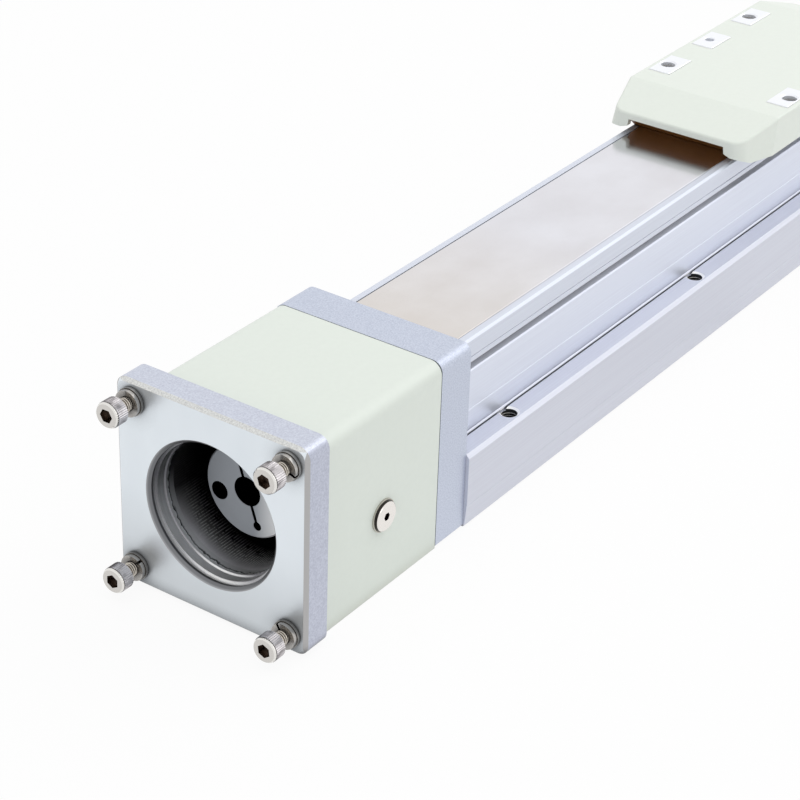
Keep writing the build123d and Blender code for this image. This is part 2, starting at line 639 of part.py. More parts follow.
def hull_block(inset, z0, z1):
    """Carriage outline: drafted sides, both noses narrowing and sloping to the top."""
    half_x, low, high = CARRIAGE_HALF - inset, COVER_HALF - inset, COVER_HALF - COVER_DRAFT - inset
    hull = section([(-low, z0), (low, z0), (high, COVER_TOP), (-high, COVER_TOP)], -half_x, half_x)
    for trim in (nose_trim(inset), mirror(nose_trim(inset), about=Plane.YZ)):
        hull -= trim
        hull -= mirrored_y(trim)
    corners = [e for e in hull.edges() if abs(e.center().X) > half_x - 1 and abs(e.tangent_at(0.5).Z) > 0.7]
    hull = fillet(corners, COVER_CORNER - inset)
    lip = COVER_BOTTOM + 6.4
    run = half_x - NOSE_RUN
    return hull & side_shape([
        (-half_x + 4, z0), (half_x - 4, z0), (half_x, z0 + 1.4), (half_x, lip), (run, z1), (-run, z1),
        (-half_x, lip), (-half_x, z0 + 1.4),
    ], -COVER_HALF - 1, COVER_HALF + 1)


def carriage_cover():
    """Pale shell over the table, with a belt mouth at each end."""
    outer = hull_block(0.0, COVER_BOTTOM, COVER_TOP)
    nose = CARRIAGE_HALF - NOSE_RUN + 3
    rim = [e for e in outer.edges() if e.center().Z > COVER_BOTTOM + 6.35 and abs(e.center().X) > nose]
    outer = fillet(rim, 0.9)
    sides = [e for e in outer.edges() if e.center().Z > COVER_TOP - 0.01 and abs(e.center().Y) > 18]
    outer = fillet(sides, 0.6)
    inner = hull_block(COVER_WALL, COVER_BOTTOM - 3, TABLE_TOP)
    cover = outer - inner
    for side in (-1, 1):
        a, b = sorted((side * (CARRIAGE_HALF - 5), side * (CARRIAGE_HALF + 1)))
        right = [
            (BELT_HALF + 0.2, TUNNEL_TOP), (BELT_HALF + 0.5, COVER_BOTTOM + 2.2), (BELT_HALF + 4.5, COVER_BOTTOM + 0.8),
            (BELT_HALF + 5.5, COVER_BOTTOM - 1),
        ]
        cover -= section(right + [(-y, z) for y, z in reversed(right)], a, b)
        for x, half in PADS:
            y0, y1 = sorted((side * (PAD_Y[0] - SLIP), side * (PAD_Y[1] + SLIP)))
            cover -= block(x - half - SLIP, x + half + SLIP, y0, y1, TABLE_TOP - 1, COVER_TOP + 1)
    return Pos(CARRIAGE_X, 0, 0) * cover


def belt_guide(side):
    """Plastic shoe under the cover that keeps the belt down at the mouth."""
    high = FLANGE_TOP + 0.5 + BELT_THICK
    end, table = -CARRIAGE_HALF, -TABLE_HALF - 0.2
    points = [
        (end + 7.5, RAIL_TOP + SLIP), (end + 10.1, RAIL_TOP + SLIP), (end + 13.2, RAIL_TOP + 0.5 + RUN),
        (table, high - 0.1), (table, TABLE_TOP - 0.15), (end + 8.2, 55.25), (end + 2.2, 53.9), (end + 2.2, 53.2),
    ]
    if side > 0:
        points = [(-x, z) for x, z in points]
    return Pos(CARRIAGE_X, 0, 0) * side_shape(points, -BELT_HALF - 2.2, BELT_HALF + 2.2)


def main():
    os.makedirs(PARTS, exist_ok=True)

    save("motor_plate", motor_plate())
    screws, split, flat = motor_screw_sets()
    save("motor_screws", *screws)
    save("motor_split_washers", *split)
    save("motor_flat_washers", *flat)
    save("coupling_housing", coupling_housing())
    save("housing_cover", housing_cover())
    save("cover_screws", cover_screw(-1), cover_screw(1))
    bolt = HOUSING_LENGTH + BLOCK_LENGTH - SINK
    save("housing_screws", *[cap_screw(-BASE_X - SINK, -1, M4, bolt, y, z) for y, z in HOUSING_PLACES])

    save("bearing_block", bearing_block())
    save("bearing_block_screws", *[cap_screw(BLOCK_X + SINK, 1, M4, 18.0, y, z) for y, z in PROFILE_PLACES])
    outer, inner = fixed_bearings()
    save("fixed_bearing_outer_rings", *outer)
    save("fixed_bearing_inner_rings", *inner)
    save("bearing_retainer", bearing_retainer())
    save("retainer_screws", *retainer_screws())
    save("lock_nut", lock_nut())
    save("journal_spacer", journal_spacer())

    screw_hub_x = COUPLING_X + HUB_LENGTH + CENTRE_LENGTH
    motor_clamp = COUPLING_X + HUB_LENGTH - 5.2
    screw_clamp = screw_hub_x + 5.2
    save("coupling_motor_hub", coupling_hub(COUPLING_X, 4.0, motor_clamp))
    save("coupling_screw_hub", coupling_hub(screw_hub_x, TAIL_R + SEAT, screw_clamp))
    save("coupling_clamp_screws", clamp_screw(motor_clamp), clamp_screw(screw_clamp))
    discs, ring = coupling_middle()
    save("coupling_discs", *discs)
    save("coupling_centre_ring", ring)
    save("ball_screw", ball_screw())

    save("base_profile", base_profile())
    save("side_cover_left", side_cover())
    save("side_cover_right", mirrored_y(side_cover()))
    save("guide_rail_left", guide_rail())
    save("guide_rail_right", mirrored_y(guide_rail()))
    save("belt_front", belt_end(-1))
    save("belt_rear", belt_end(1))
    anchors = [belt_anchor(side) for side in (-1, 1)]
    save("belt_anchors", *[a[0] for a in anchors])
    save("belt_clamps", *[a[1] for a in anchors])
    save("belt_clamp_screws", *[s for a in anchors for s in a[2]])
    save("bumpers", bumper(-1), bumper(1))

    save("end_block", end_block())
    save("end_block_screws", *[cap_screw(END_X - SINK, -1, M4, 18.0, y, z) for y, z in PROFILE_PLACES])
    outer, inner = support_bearing()
    save("support_bearing_outer_ring", outer)
    save("support_bearing_inner_ring", inner)

    save("guide_block", guide_block())
    save("guide_caps", guide_cap(-1), guide_cap(1))
    save("ball_nut", ball_nut())
    save("nut_screws", *nut_screws())
    save("carriage_table", carriage_table())
    save("table_screws", *table_screws())
    save("carriage_cover", carriage_cover())
    save("belt_guides", belt_guide(-1), belt_guide(1))
    save("belt_hump", belt_hump())


main()
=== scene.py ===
# %% [markdown]
# # Dressing a ball screw linear stage
# The stage is a long aluminium channel with a ball screw inside. A pale carriage runs along its top over a
# thin steel belt. At the near end a square motor flange stands open, and a clamp coupling shows deep inside
# its bore. The solid model already has every body at its real size. This lesson loads it, gives each part
# its real finish, and adds what is too fine for the solids: knurled screw heads, threads, balls and the
# polished belt.

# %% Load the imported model
import math

import bpy
from mathutils import Matrix, Vector


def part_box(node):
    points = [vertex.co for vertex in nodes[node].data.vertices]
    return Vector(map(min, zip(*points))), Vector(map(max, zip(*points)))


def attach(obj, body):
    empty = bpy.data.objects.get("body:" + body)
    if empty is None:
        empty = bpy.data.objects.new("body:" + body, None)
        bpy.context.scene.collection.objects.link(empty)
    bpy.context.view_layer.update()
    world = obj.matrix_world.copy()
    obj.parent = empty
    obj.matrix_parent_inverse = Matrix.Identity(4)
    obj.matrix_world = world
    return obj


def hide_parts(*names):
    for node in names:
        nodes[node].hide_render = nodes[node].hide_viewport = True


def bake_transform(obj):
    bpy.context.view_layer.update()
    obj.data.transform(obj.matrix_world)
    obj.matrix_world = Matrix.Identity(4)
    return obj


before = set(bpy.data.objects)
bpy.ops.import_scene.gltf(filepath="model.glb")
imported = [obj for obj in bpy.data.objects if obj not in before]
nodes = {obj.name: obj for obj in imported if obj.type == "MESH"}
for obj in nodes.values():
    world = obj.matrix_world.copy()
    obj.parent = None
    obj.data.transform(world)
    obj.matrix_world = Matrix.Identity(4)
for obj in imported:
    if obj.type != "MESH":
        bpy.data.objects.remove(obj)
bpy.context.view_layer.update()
MM = 0.001

# %% [markdown]
# ## Colours and nodes
# Paint charts and photographs give colours as sRGB hex, but a shader works with linear light, so one
# function turns one into the other. Another adds a node to any tree, for materials and for geometry. The
# value of an input may be a plain value, a hex colour, a socket or a node, which stands for the first
# output it has in use. The three kinds used most have short names. MIX takes two colours: OFF shows where
# its factor is 0, and ON where it is 1.

# %% Helpers for any tree
MATH, MIX, RANGE = "ShaderNodeMath", "ShaderNodeMix", "ShaderNodeMapRange"
OFF, ON = 6, 7


def colour(hex_code):
    """sRGB hex to a linear colour with alpha."""
    parts = [int(hex_code[i:i + 2], 16) / 255 for i in (1, 3, 5)]
    linear = [c / 12.92 if c <= 0.04045 else ((c + 0.055) / 1.055) ** 2.4 for c in parts]
    return (*linear, 1.0)


def connect(tree, node, sockets):
    """Set the inputs of a node, or link those whose value is a socket or another node."""
    for key, value in sockets.items():
        if isinstance(value, bpy.types.Node):
            value = next(out for out in value.outputs if out.enabled)
        if isinstance(value, bpy.types.NodeSocket):
            tree.links.new(value, node.inputs[key])
        else:
            node.inputs[key].default_value = colour(value) if isinstance(value, str) else value


def add(tree, kind, sockets=None, **settings):
    """Add a node, set its properties, then set or link its inputs."""
    node = tree.nodes.new(kind)
    for name, value in settings.items():
        setattr(node, name, value)
    connect(tree, node, sockets or {})
    return node


print("mid grey as linear light:", [round(part, 3) for part in colour("#808080")[:3]])

# %% [markdown]
# ## What every material shares
# A material starts with plain values on its shader. Patterns use Object coordinates in metres, so their
# scales are real sizes. Two patterns come back in many finishes. One is a fine noise that raises a shallow
# relief. The other is painted shade in narrow places: ambient occlusion says how open a spot is, and the
# colour darkens where it isn't.

# %% Helpers for materials


def finish(name, base, metallic, roughness, **extra):
    """Start a material with plain values on its shader, and hand back its tree and shader."""
    material = bpy.data.materials.new(name)
    material.use_nodes = True
    material.diffuse_color = colour(base)
    tree = material.node_tree
    tree.nodes.clear()
    values = {"Base Color": base, "Metallic": metallic, "Roughness": roughness, **extra}
    shader = add(tree, "ShaderNodeBsdfPrincipled", values)
    add(tree, "ShaderNodeOutputMaterial", {"Surface": shader})
    return material, tree, shader


def place(tree, scale=(1, 1, 1)):
    """Object coordinates in metres, stretched by scale."""
    where = add(tree, "ShaderNodeTexCoord")
    return add(tree, "ShaderNodeMapping", {"Vector": where.outputs["Object"], "Scale": scale})


def relief(tree, shader, stretch, size, strength, depth, detail=2.0):
    """Raise noise of a real size, drawn out by stretch, as a shallow relief. Hands back the noise."""
    noise = add(tree, "ShaderNodeTexNoise", {
        "Vector": place(tree, stretch), "Scale": 1 / size, "Detail": detail,
    })
    bump = add(tree, "ShaderNodeBump", {"Strength": strength, "Distance": depth, "Height": noise})
    connect(tree, shader, {"Normal": bump})
    return noise


def shade_recess(tree, tint, dark, reach, closed=0.0, free=1.0):
    """Paint shade into a colour in recesses: dark where the open share is closed or less, full tint from
    free up.
    """
    open_share = add(tree, "ShaderNodeAmbientOcclusion", {"Distance": reach}, samples=8)
    level = add(tree, RANGE, {"Value": open_share.outputs["AO"], "From Min": closed, "From Max": free})
    return add(tree, MIX, {"Factor": level, OFF: dark, ON: tint}, data_type="RGBA")


print("material helpers ready")

# %% [markdown]
# ## Clear anodised aluminium
# The profile and the end plates are extruded or milled aluminium, bead blasted and clear anodised. The
# oxide layer scatters light in a fine grain of 0.4 mm and gives a cool silver, with painted shade in seams
# and grooves.
# Extrusion also leaves faint lines along the length, so for the profile the same noise is stretched a
# hundred times along X.

# %% Anodised aluminium, milled and extruded
GRAIN = 0.4 * MM
ROUND = (1, 1, 1)
DRAWN_OUT = (0.01, 1, 1)


def anodised(name, base, shade, stretch, metallic):
    """Cool satin metal whose grain can be drawn out along X. Hands back its tint too, for a later layer."""
    material, tree, shader = finish(name, base, metallic, 0.42)
    grain = relief(tree, shader, stretch, GRAIN, 0.12, 0.02 * MM)
    spread = add(tree, RANGE, {"Value": grain, "From Min": 0.3, "From Max": 0.7})
    mix = add(tree, MIX, {"Factor": spread, OFF: base, ON: shade}, data_type="RGBA")
    # Painted shade in seams and grooves.
    tint = shade_recess(tree, mix, "#5A5B61", 1.2 * MM, 0.1, 0.6)
    connect(tree, shader, {"Base Color": tint})
    return material, tree, shader, tint


milled = anodised("clear anodised milled aluminium", "#D4DAE8", "#BBC2D3", ROUND, 0.8)[0]
print("made", milled.name)

# %% [markdown]
# ## Top strips
# Each strip stands on a foot that is set back under it. The foot lies in the strip's shade, so its colour
# is painted duller and more neutral as painted shade. The strip is one solid, so a mask on its height tells
# the foot from the rest. A second material would need a cut.

# %% Strip metal
STRIP_FOOT = 41.62 * MM


def axes(tree):
    """Object coordinates in metres, as separate X, Y and Z."""
    return add(tree, "ShaderNodeSeparateXYZ", {"Vector": place(tree)}).outputs


strip_metal, tree, shader, tint = anodised(
    "clear anodised aluminium strip", "#DCE1EC", "#D7DBE7", DRAWN_OUT, 0.6,
)
spot = axes(tree)
foot = add(tree, MATH, {0: spot["Z"], 1: STRIP_FOOT}, operation="LESS_THAN")
# Painted shade: the foot under the overhanging strip is tinted duller and more neutral.
foot_painted_shade = add(tree, MIX, {"Factor": foot, OFF: tint, ON: "#E0D9CD"}, data_type="RGBA", blend_type="MULTIPLY")
connect(tree, shader, {"Base Color": foot_painted_shade})
print("made", strip_metal.name)

# %% [markdown]
# ## The profile and its ledge holes
# From the ledge down the colour is a little duller. The ledge has a hole every 100 mm. The holes could be
# found one by one, but folding X back and forth over half that pitch gives the distance along the ledge to
# the nearest one at once. Inside, a hole is dark with painted shade. Its broken edge is bare metal with a
# painted highlight in pure white.

# %% Profile metal
LEDGE_Z = 21.9 * MM
HOLE_Y = 22.8 * MM
HALF_PITCH = 50 * MM
WALL_R = 2.27 * MM
RIM_R = 2.97 * MM
RIM_DEPTH = 0.4 * MM
extruded, tree, shader, tint = anodised(
    "clear anodised extruded aluminium", "#E4E9F5", "#DFE3F0", DRAWN_OUT, 0.6,
)
spot = axes(tree)
lower = add(tree, MATH, {0: spot["Z"], 1: LEDGE_Z + 0.2 * MM}, operation="LESS_THAN")
tint = add(tree, MIX, {"Factor": lower, OFF: tint, ON: "#F0EEED"}, data_type="RGBA", blend_type="MULTIPLY")
fold = add(tree, MATH, {0: spot["X"], 1: HALF_PITCH}, operation="PINGPONG")
from_hole = add(tree, MATH, {0: HALF_PITCH, 1: fold}, operation="SUBTRACT")
side_way = add(tree, MATH, {0: spot["Y"]}, operation="ABSOLUTE")
across = add(tree, MATH, {0: side_way, 1: HOLE_Y}, operation="SUBTRACT")
gap = add(tree, "ShaderNodeCombineXYZ", {"X": from_hole, "Y": across})
reach = add(tree, "ShaderNodeVectorMath", {0: gap}, operation="LENGTH")
wall = add(tree, MATH, {0: reach, 1: WALL_R}, operation="LESS_THAN")
deep = add(tree, MATH, {0: spot["Z"], 1: LEDGE_Z - RIM_DEPTH}, operation="LESS_THAN")
hole_painted_shade = add(tree, MATH, {0: wall, 1: deep}, operation="MULTIPLY")
rim = add(tree, MATH, {0: reach, 1: RIM_R}, operation="LESS_THAN")
sunk = add(tree, MATH, {0: spot["Z"], 1: LEDGE_Z - RIM_DEPTH / 2, 2: 0.19 * MM}, operation="COMPARE")
bare_rim_painted_highlight = add(tree, MATH, {0: rim, 1: sunk}, operation="MULTIPLY")
# Painted shade inside the holes, and a pure white painted highlight on their bare rims.
for mask, layer in ((hole_painted_shade, "#4A4C4E"), (bare_rim_painted_highlight, "#FFFFFF")):
    tint = add(tree, MIX, {"Factor": mask, OFF: tint, ON: layer}, data_type="RGBA")
connect(tree, shader, {"Base Color": tint})
print("made", extruded.name)

# %% [markdown]
# ## The motor flange's machined face
# The flange is anodised like the blocks, then its front is skimmed flat and its bore is turned. The black
# coating of the housing runs a few millimetres into the bore and ends in an uneven line. All of it is one
# solid, so masks choose by place: the depth along X, the distance from the screw's axis and the distance
# from the middle.

# %% Flange masks
AXIS_Z = 29.2 * MM


def around_axis(tree):
    """Object coordinates split up, the height over the screw's axis and the distance from it."""
    spot = axes(tree)
    up = add(tree, MATH, {0: spot["Z"], 1: AXIS_Z}, operation="SUBTRACT")
    cross = add(tree, "ShaderNodeCombineXYZ", {"X": spot["Y"], "Y": up})
    return spot, up, add(tree, "ShaderNodeVectorMath", {0: cross}, operation="LENGTH")


plate_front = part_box("motor_plate")[0].x
skim_depth = plate_front + 0.95 * MM
coat_depth = plate_front + 7.1 * MM
BORE_EDGE_R = 20.03 * MM
FILE_EDGE = 28.05 * MM
RAG = 1.6 * MM
flange_metal, tree, shader = finish("machined and anodised flange aluminium", "#D3D8E8", 0.85, 0.36)
spot, up, reach = around_axis(tree)
front = add(tree, MATH, {0: spot["X"], 1: skim_depth}, operation="LESS_THAN")
inside = add(tree, MATH, {0: reach, 1: BORE_EDGE_R}, operation="LESS_THAN")
side_way = add(tree, MATH, {0: spot["Y"]}, operation="ABSOLUTE")
up_way = add(tree, MATH, {0: up}, operation="ABSOLUTE")
beside = add(tree, MATH, {0: side_way, 1: up_way}, operation="GREATER_THAN")
outmost = add(tree, MATH, {0: side_way, 1: up_way}, operation="MAXIMUM")
filed = add(tree, MATH, {0: outmost, 1: FILE_EDGE}, operation="GREATER_THAN")
ragged = add(tree, "ShaderNodeTexNoise", {"Vector": place(tree), "Scale": 1 / RAG, "Detail": 2.0})
uneven = add(tree, MATH, {0: ragged, 1: RAG, 2: spot["X"]}, operation="MULTIPLY_ADD")
coated = add(tree, MATH, {0: uneven, 1: coat_depth}, operation="GREATER_THAN")
coated_bore = add(tree, MATH, {0: coated, 1: inside}, operation="MULTIPLY")
print("bare metal in front of x =", round(skim_depth, 5))

# %% [markdown]
# ## Tones of the flange
# The skimmed face is bright and clouded, with brush lines 0.3 mm apart, and a painted shade makes it darker
# towards the bench. Its edge was broken with a file, so it is duller. The skin round the sides keeps the
# silver grain of the coat. On the left and right sides, edge and skin get a darker painted shade than on top
# and bottom. Painted shade darkens places next to the washers and seams over 5 mm.

# %% Flange outside
BRUSH_LINES = (1, 0.03, 1)
relief(tree, shader, BRUSH_LINES, 0.3 * MM, 0.10, 0.02 * MM, 3.0)
cloud = add(tree, "ShaderNodeTexNoise", {
    "Vector": place(tree, (1, 1, 0.4)), "Scale": 1 / (14 * MM), "Detail": 3.0,
})
grain = add(tree, "ShaderNodeTexNoise", {"Vector": place(tree), "Scale": 1 / GRAIN, "Detail": 2.0})
spread = add(tree, RANGE, {"Value": grain, "From Min": 0.3, "From Max": 0.7})
# Painted shade: the face turns darker towards the bench.
height = add(tree, RANGE, {"Value": up, "From Min": -30 * MM, "From Max": 0.0})
face_high = add(tree, MIX, {"Factor": cloud, OFF: "#EAF0F5", ON: "#D8DFE5"}, data_type="RGBA")
face = add(tree, MIX, {"Factor": height, OFF: "#C9CED2", ON: face_high}, data_type="RGBA")
edge_high = add(tree, MIX, {"Factor": spread, OFF: "#E6E7E5", ON: "#C4C5C4"}, data_type="RGBA")
# Painted shade: on the left and right sides the filed edge and the skin are darker than on top and bottom.
edge = add(tree, MIX, {"Factor": beside, OFF: edge_high, ON: "#B2B1B1"}, data_type="RGBA")
skin_high = add(tree, MIX, {"Factor": spread, OFF: "#D7DCE8", ON: "#C0C4D3"}, data_type="RGBA")
shaded_skin_side = add(tree, MIX, {"Factor": spread, OFF: "#CACEDC", ON: "#B2B6C6"}, data_type="RGBA")
skin = add(tree, MIX, {"Factor": beside, OFF: skin_high, ON: shaded_skin_side}, data_type="RGBA")
skimmed = add(tree, MIX, {"Factor": filed, OFF: face, ON: edge}, data_type="RGBA")
outside = add(tree, MIX, {"Factor": front, OFF: skin, ON: skimmed}, data_type="RGBA")
# Painted shade next to the washers and seams.
outside = shade_recess(tree, outside, "#2E3035", 5.0 * MM, 0.22, 0.97)
print("toned the outside of", flange_metal.name)

# %% [markdown]
# ## Tones of the flange's bore
# Turned steps in the bore are grey, each with a thin painted highlight at its edge, so a ramp over the
# first 10 mm of depth gives the tone. The lower half sees more light, painted in as a lighter colour. The
# pilot's shoulder and the chamfer behind it face the camera and would glare, so both are dulled, apart from
# the lowest part. The coating starts in a black line and turns grey behind it, painted lighter low down
# where more light falls.

# %% Flange bore
RAMP_DEPTH = 10 * MM
PILOT_STEP = 2.6 * MM
CHAMFER = 5.2 * MM


def fill_ramp(ramp, tones):
    """Give a colour ramp its stops, from 0 up."""
    stops = ramp.color_ramp.elements
    for at, tone in tones:
        stop = stops[0] if at == 0.0 else stops.new(at)
        stop.position, stop.color = at, colour(tone)
    stops.remove(stops[-1])


into = add(tree, RANGE, {"Value": spot["X"], "From Min": plate_front, "From Max": plate_front + RAMP_DEPTH})
# The thin bright stops are painted highlights at the edges of the turned steps.
rings = add(tree, "ShaderNodeValToRGB", {"Fac": into})
fill_ramp(rings, [
    (0.0, "#A6A7AA"), (0.04, "#77787B"), (0.15, "#6C6D70"), (0.165, "#B0B1B4"), (0.185, "#949598"),
    (0.28, "#9E9FA2"), (0.295, "#BBBCBF"), (0.315, "#98999C"), (0.38, "#A2A3A6"), (0.395, "#B0B1B4"),
    (0.42, "#999A9D"), (0.6, "#A9AAAD"),
])
below = add(tree, RANGE, {"Value": up, "From Min": 4 * MM, "From Max": -15 * MM, "To Max": 0.8})
past_edge = add(tree, MATH, {0: into, 1: 0.16}, operation="GREATER_THAN")
# Painted light: the lower half of the bore is lighter, past its outer edge.
lit_low_past_edge = add(tree, MATH, {0: below, 1: past_edge}, operation="MULTIPLY")
turned = add(tree, MIX, {"Factor": lit_low_past_edge, OFF: rings, ON: "#FFFFFF"}, data_type="RGBA")
above_sump = add(tree, RANGE, {"Value": up, "From Min": -19 * MM, "From Max": -15.5 * MM})
for middle, half, tone in ((CHAMFER, 0.24 * MM, "#9E9EA2"), (PILOT_STEP, 0.04 * MM, "#C6C6C9")):
    band = add(tree, MATH, {0: spot["X"], 1: plate_front + middle, 2: half}, operation="COMPARE")
    dulled = add(tree, MATH, {0: band, 1: above_sump}, operation="MULTIPLY")
    turned = add(tree, MIX, {
        "Factor": dulled, OFF: turned, ON: tone,
    }, data_type="RGBA", blend_type="MULTIPLY")
coat_fade = add(tree, RANGE, {
    "Value": uneven, "From Min": coat_depth + 0.1 * MM, "From Max": coat_depth + 0.6 * MM,
})
# Painted light: the coating's grey turns lighter low down.
coat_grey_lit_low = add(tree, MIX, {"Factor": below, OFF: "#3C3C40", ON: "#FFFFFF"}, data_type="RGBA")
coat = add(tree, MIX, {"Factor": coat_fade, OFF: "#0C0C0E", ON: coat_grey_lit_low}, data_type="RGBA")
tint = outside
for mask, layer in ((inside, turned), (coated_bore, coat)):
    tint = add(tree, MIX, {"Factor": mask, OFF: tint, ON: layer}, data_type="RGBA")
connect(tree, shader, {"Base Color": tint})
print("toned the bore of", flange_metal.name)

# %% [markdown]
# ## Pale green enamel and its moulded match
# The housing cover is sheet metal with a baked pale green enamel. The carriage's cover is moulded in the
# same tint. Both have a smooth, slightly glossy skin with a shallow orange peel of 1.5 mm, and get a
# slightly beige painted shade in corners. The moulding is a little softer in its shine. Only tint and
# shine differ, so one function makes both. A thin clear coat over a plain base gives the baked look
# better than a lower roughness.

# %% Enamel and moulded cover


def pale_skin(name, base, shade, corner_shade, roughness, coat):
    """Pale green skin with a very shallow orange peel."""
    clear_coat = {"Coat Weight": coat, "Coat Roughness": 0.2}
    material, tree, shader = finish(name, base, 0.0, roughness, **clear_coat)
    peel = relief(tree, shader, ROUND, 1.5 * MM, 0.06, 0.02 * MM)
    mix = add(tree, MIX, {"Factor": peel, OFF: base, ON: shade}, data_type="RGBA")
    # Painted shade, slightly beige, in corners.
    connect(tree, shader, {"Base Color": shade_recess(tree, mix, corner_shade, 5.0 * MM, 0.2, 0.9)})
    return material


enamel = pale_skin("pale green baked enamel", "#E4EBE3", "#E0E7DF", "#C9CCC2", 0.38, 0.18)
moulding = pale_skin("pale green moulded plastic", "#E7EDE5", "#E3E9E1", "#CDC7B2", 0.42, 0.12)
print("made", enamel.name, "and", moulding.name)

# %% [markdown]
# ## Belt steel
# The belt is cold rolled stainless steel, polished enough to mirror the carriage. It has faint clouds where
# it was wiped, and a straw tint over the first 75 mm from the bearing block. A painted picture of the
# clouds would blur close up, so noise 16 mm wide draws them. Finer noise, drawn out along X, is the
# rolling.

# %% Belt steel
belt_steel, tree, shader = finish("polished stainless steel belt", "#DDDADA", 1.0, 0.16)
cloud = add(tree, "ShaderNodeTexNoise", {
    "Vector": place(tree, (0.7, 1, 1)), "Scale": 1 / (16 * MM), "Detail": 4.0,
})
wipe = add(tree, RANGE, {"Value": cloud, "From Min": 0.3, "From Max": 0.7})
spot = axes(tree)
block_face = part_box("belt_front")[0].x
near = add(tree, RANGE, {"Value": spot["X"], "From Min": block_face, "From Max": block_face + 75 * MM})
straw = add(tree, MIX, {"Factor": near, OFF: "#D6CFC8", ON: "#DDDCE1"}, data_type="RGBA")
clean = add(tree, MIX, {"Factor": near, OFF: "#E0DBD7", ON: "#E5E5EB"}, data_type="RGBA")
warm = add(tree, MIX, {"Factor": wipe, OFF: clean, ON: straw}, data_type="RGBA")
connect(tree, shader, {"Base Color": warm})
relief(tree, shader, DRAWN_OUT, 0.4 * MM, 0.05, 0.01 * MM)
print("made", belt_steel.name)

# %% [markdown]
# ## Nickel plating
# Screws and washers are nickel plated: neutral, glossy, a little blotchy and almost black in their
# recesses, where little light gets in. Washers lie flat on each other, so their rims darken over a longer
# reach. Mirror steel alone would reflect the white studio into every gap, so the dark of the gaps is in the
# colour.

# %% Plated screws and washers


def nickel(name, reach, closed, free):
    """Blotchy nickel plating with painted shade, almost black, in recesses up to reach."""
    material, tree, shader = finish(name, "#A9A6A2", 1.0, 0.2)
    blots = add(tree, "ShaderNodeTexNoise", {"Vector": place(tree), "Scale": 1 / (0.8 * MM), "Detail": 2.0})
    tone = add(tree, MIX, {"Factor": blots, OFF: "#D6D3CF", ON: "#ACA9A6"}, data_type="RGBA")
    connect(tree, shader, {"Base Color": shade_recess(tree, tone, "#171412", reach, closed, free)})
    return material


plated = nickel("nickel plated screw steel", 2.0 * MM, 0.15, 1.0)
washer_steel = nickel("nickel plated washer steel", 3.5 * MM, 0.38, 0.98)
print("made", plated.name, "and", washer_steel.name)

# %% [markdown]
# ## Cap screws
# The four motor screws are the nearest steel, so their zones are chosen by place. The signs of Y and of the
# height say on which corner of the bolt square a point lies, and so which axis its distance is taken from.

# %% Zones of the cap screws
SCREW_SQUARE = 47.14 * MM
SCREW_OUT = SCREW_SQUARE / 2
BEVEL_END = 0.8 * MM
THREAD_START = 3.8 * MM
SHANK_ZONE = 2.7 * MM
SOCKET_ZONE = 2.1 * MM
SOCKET_START = 0.12 * MM
screw_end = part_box("motor_screws")[0].x
cap_steel, tree, shader = finish("nickel plated cap screw steel", "#908D8B", 1.0, 0.2)
spot = axes(tree)
depth = add(tree, MATH, {0: spot["X"], 1: screw_end}, operation="SUBTRACT")
raised = add(tree, MATH, {0: spot["Z"], 1: AXIS_Z}, operation="SUBTRACT")
off = add(tree, "ShaderNodeCombineXYZ")
for key, way in (("X", spot["Y"]), ("Y", raised.outputs[0])):
    side = add(tree, MATH, {0: way}, operation="SIGN")
    from_centre = add(tree, MATH, {0: side, 1: -SCREW_OUT, 2: way}, operation="MULTIPLY_ADD")
    connect(tree, off, {key: from_centre})
from_axis = add(tree, "ShaderNodeVectorMath", {0: off}, operation="LENGTH")
on_side = add(tree, MATH, {0: depth, 1: BEVEL_END}, operation="GREATER_THAN")
core = add(tree, MATH, {0: from_axis, 1: SHANK_ZONE}, operation="LESS_THAN")
behind = add(tree, MATH, {0: depth, 1: THREAD_START}, operation="GREATER_THAN")
threaded = add(tree, MATH, {0: core, 1: behind}, operation="MULTIPLY")
sunk = add(tree, MATH, {0: depth, 1: SOCKET_START}, operation="GREATER_THAN")
ahead = add(tree, MATH, {0: depth, 1: THREAD_START}, operation="LESS_THAN")
key_hole = add(tree, MATH, {0: from_axis, 1: SOCKET_ZONE}, operation="LESS_THAN")
deep = add(tree, MATH, {0: sunk, 1: ahead}, operation="MULTIPLY")
socket = add(tree, MATH, {0: deep, 1: key_hole}, operation="MULTIPLY")
print("screw ends at x =", round(screw_end, 5))

# %% [markdown]
# ## Tones of the cap screws
# The end face is painted bright as a painted reflection, and its bevel brighter still as a painted
# highlight, with a dark line of painted shade round the bevel. The knurled side gets painted light in
# blotches of highlight and shade, lighter towards the upper side that faces the camera and darker low down.
# The thread is warmer, and the socket is dull inside, with painted shade in its recesses.

# %% Tones of the cap screws
depth_mm = add(tree, MATH, {0: depth, 1: MM}, operation="DIVIDE")
# Painted reflection on the end face, painted highlight on the bevel and painted shade in the dark line round
# it.
tone = add(tree, "ShaderNodeValToRGB", {"Fac": depth_mm})
tone.color_ramp.interpolation = "CONSTANT"
fill_ramp(tone, [(0.0, "#CFCCC8"), (0.06, "#E4E2DE"), (0.62, "#2E2B2A"), (0.8, "#B4B1AF")])
blots = add(tree, "ShaderNodeTexNoise", {
    "Vector": place(tree, (0.6, 1, 1)), "Scale": 1 / (1.6 * MM), "Detail": 1.0,
})
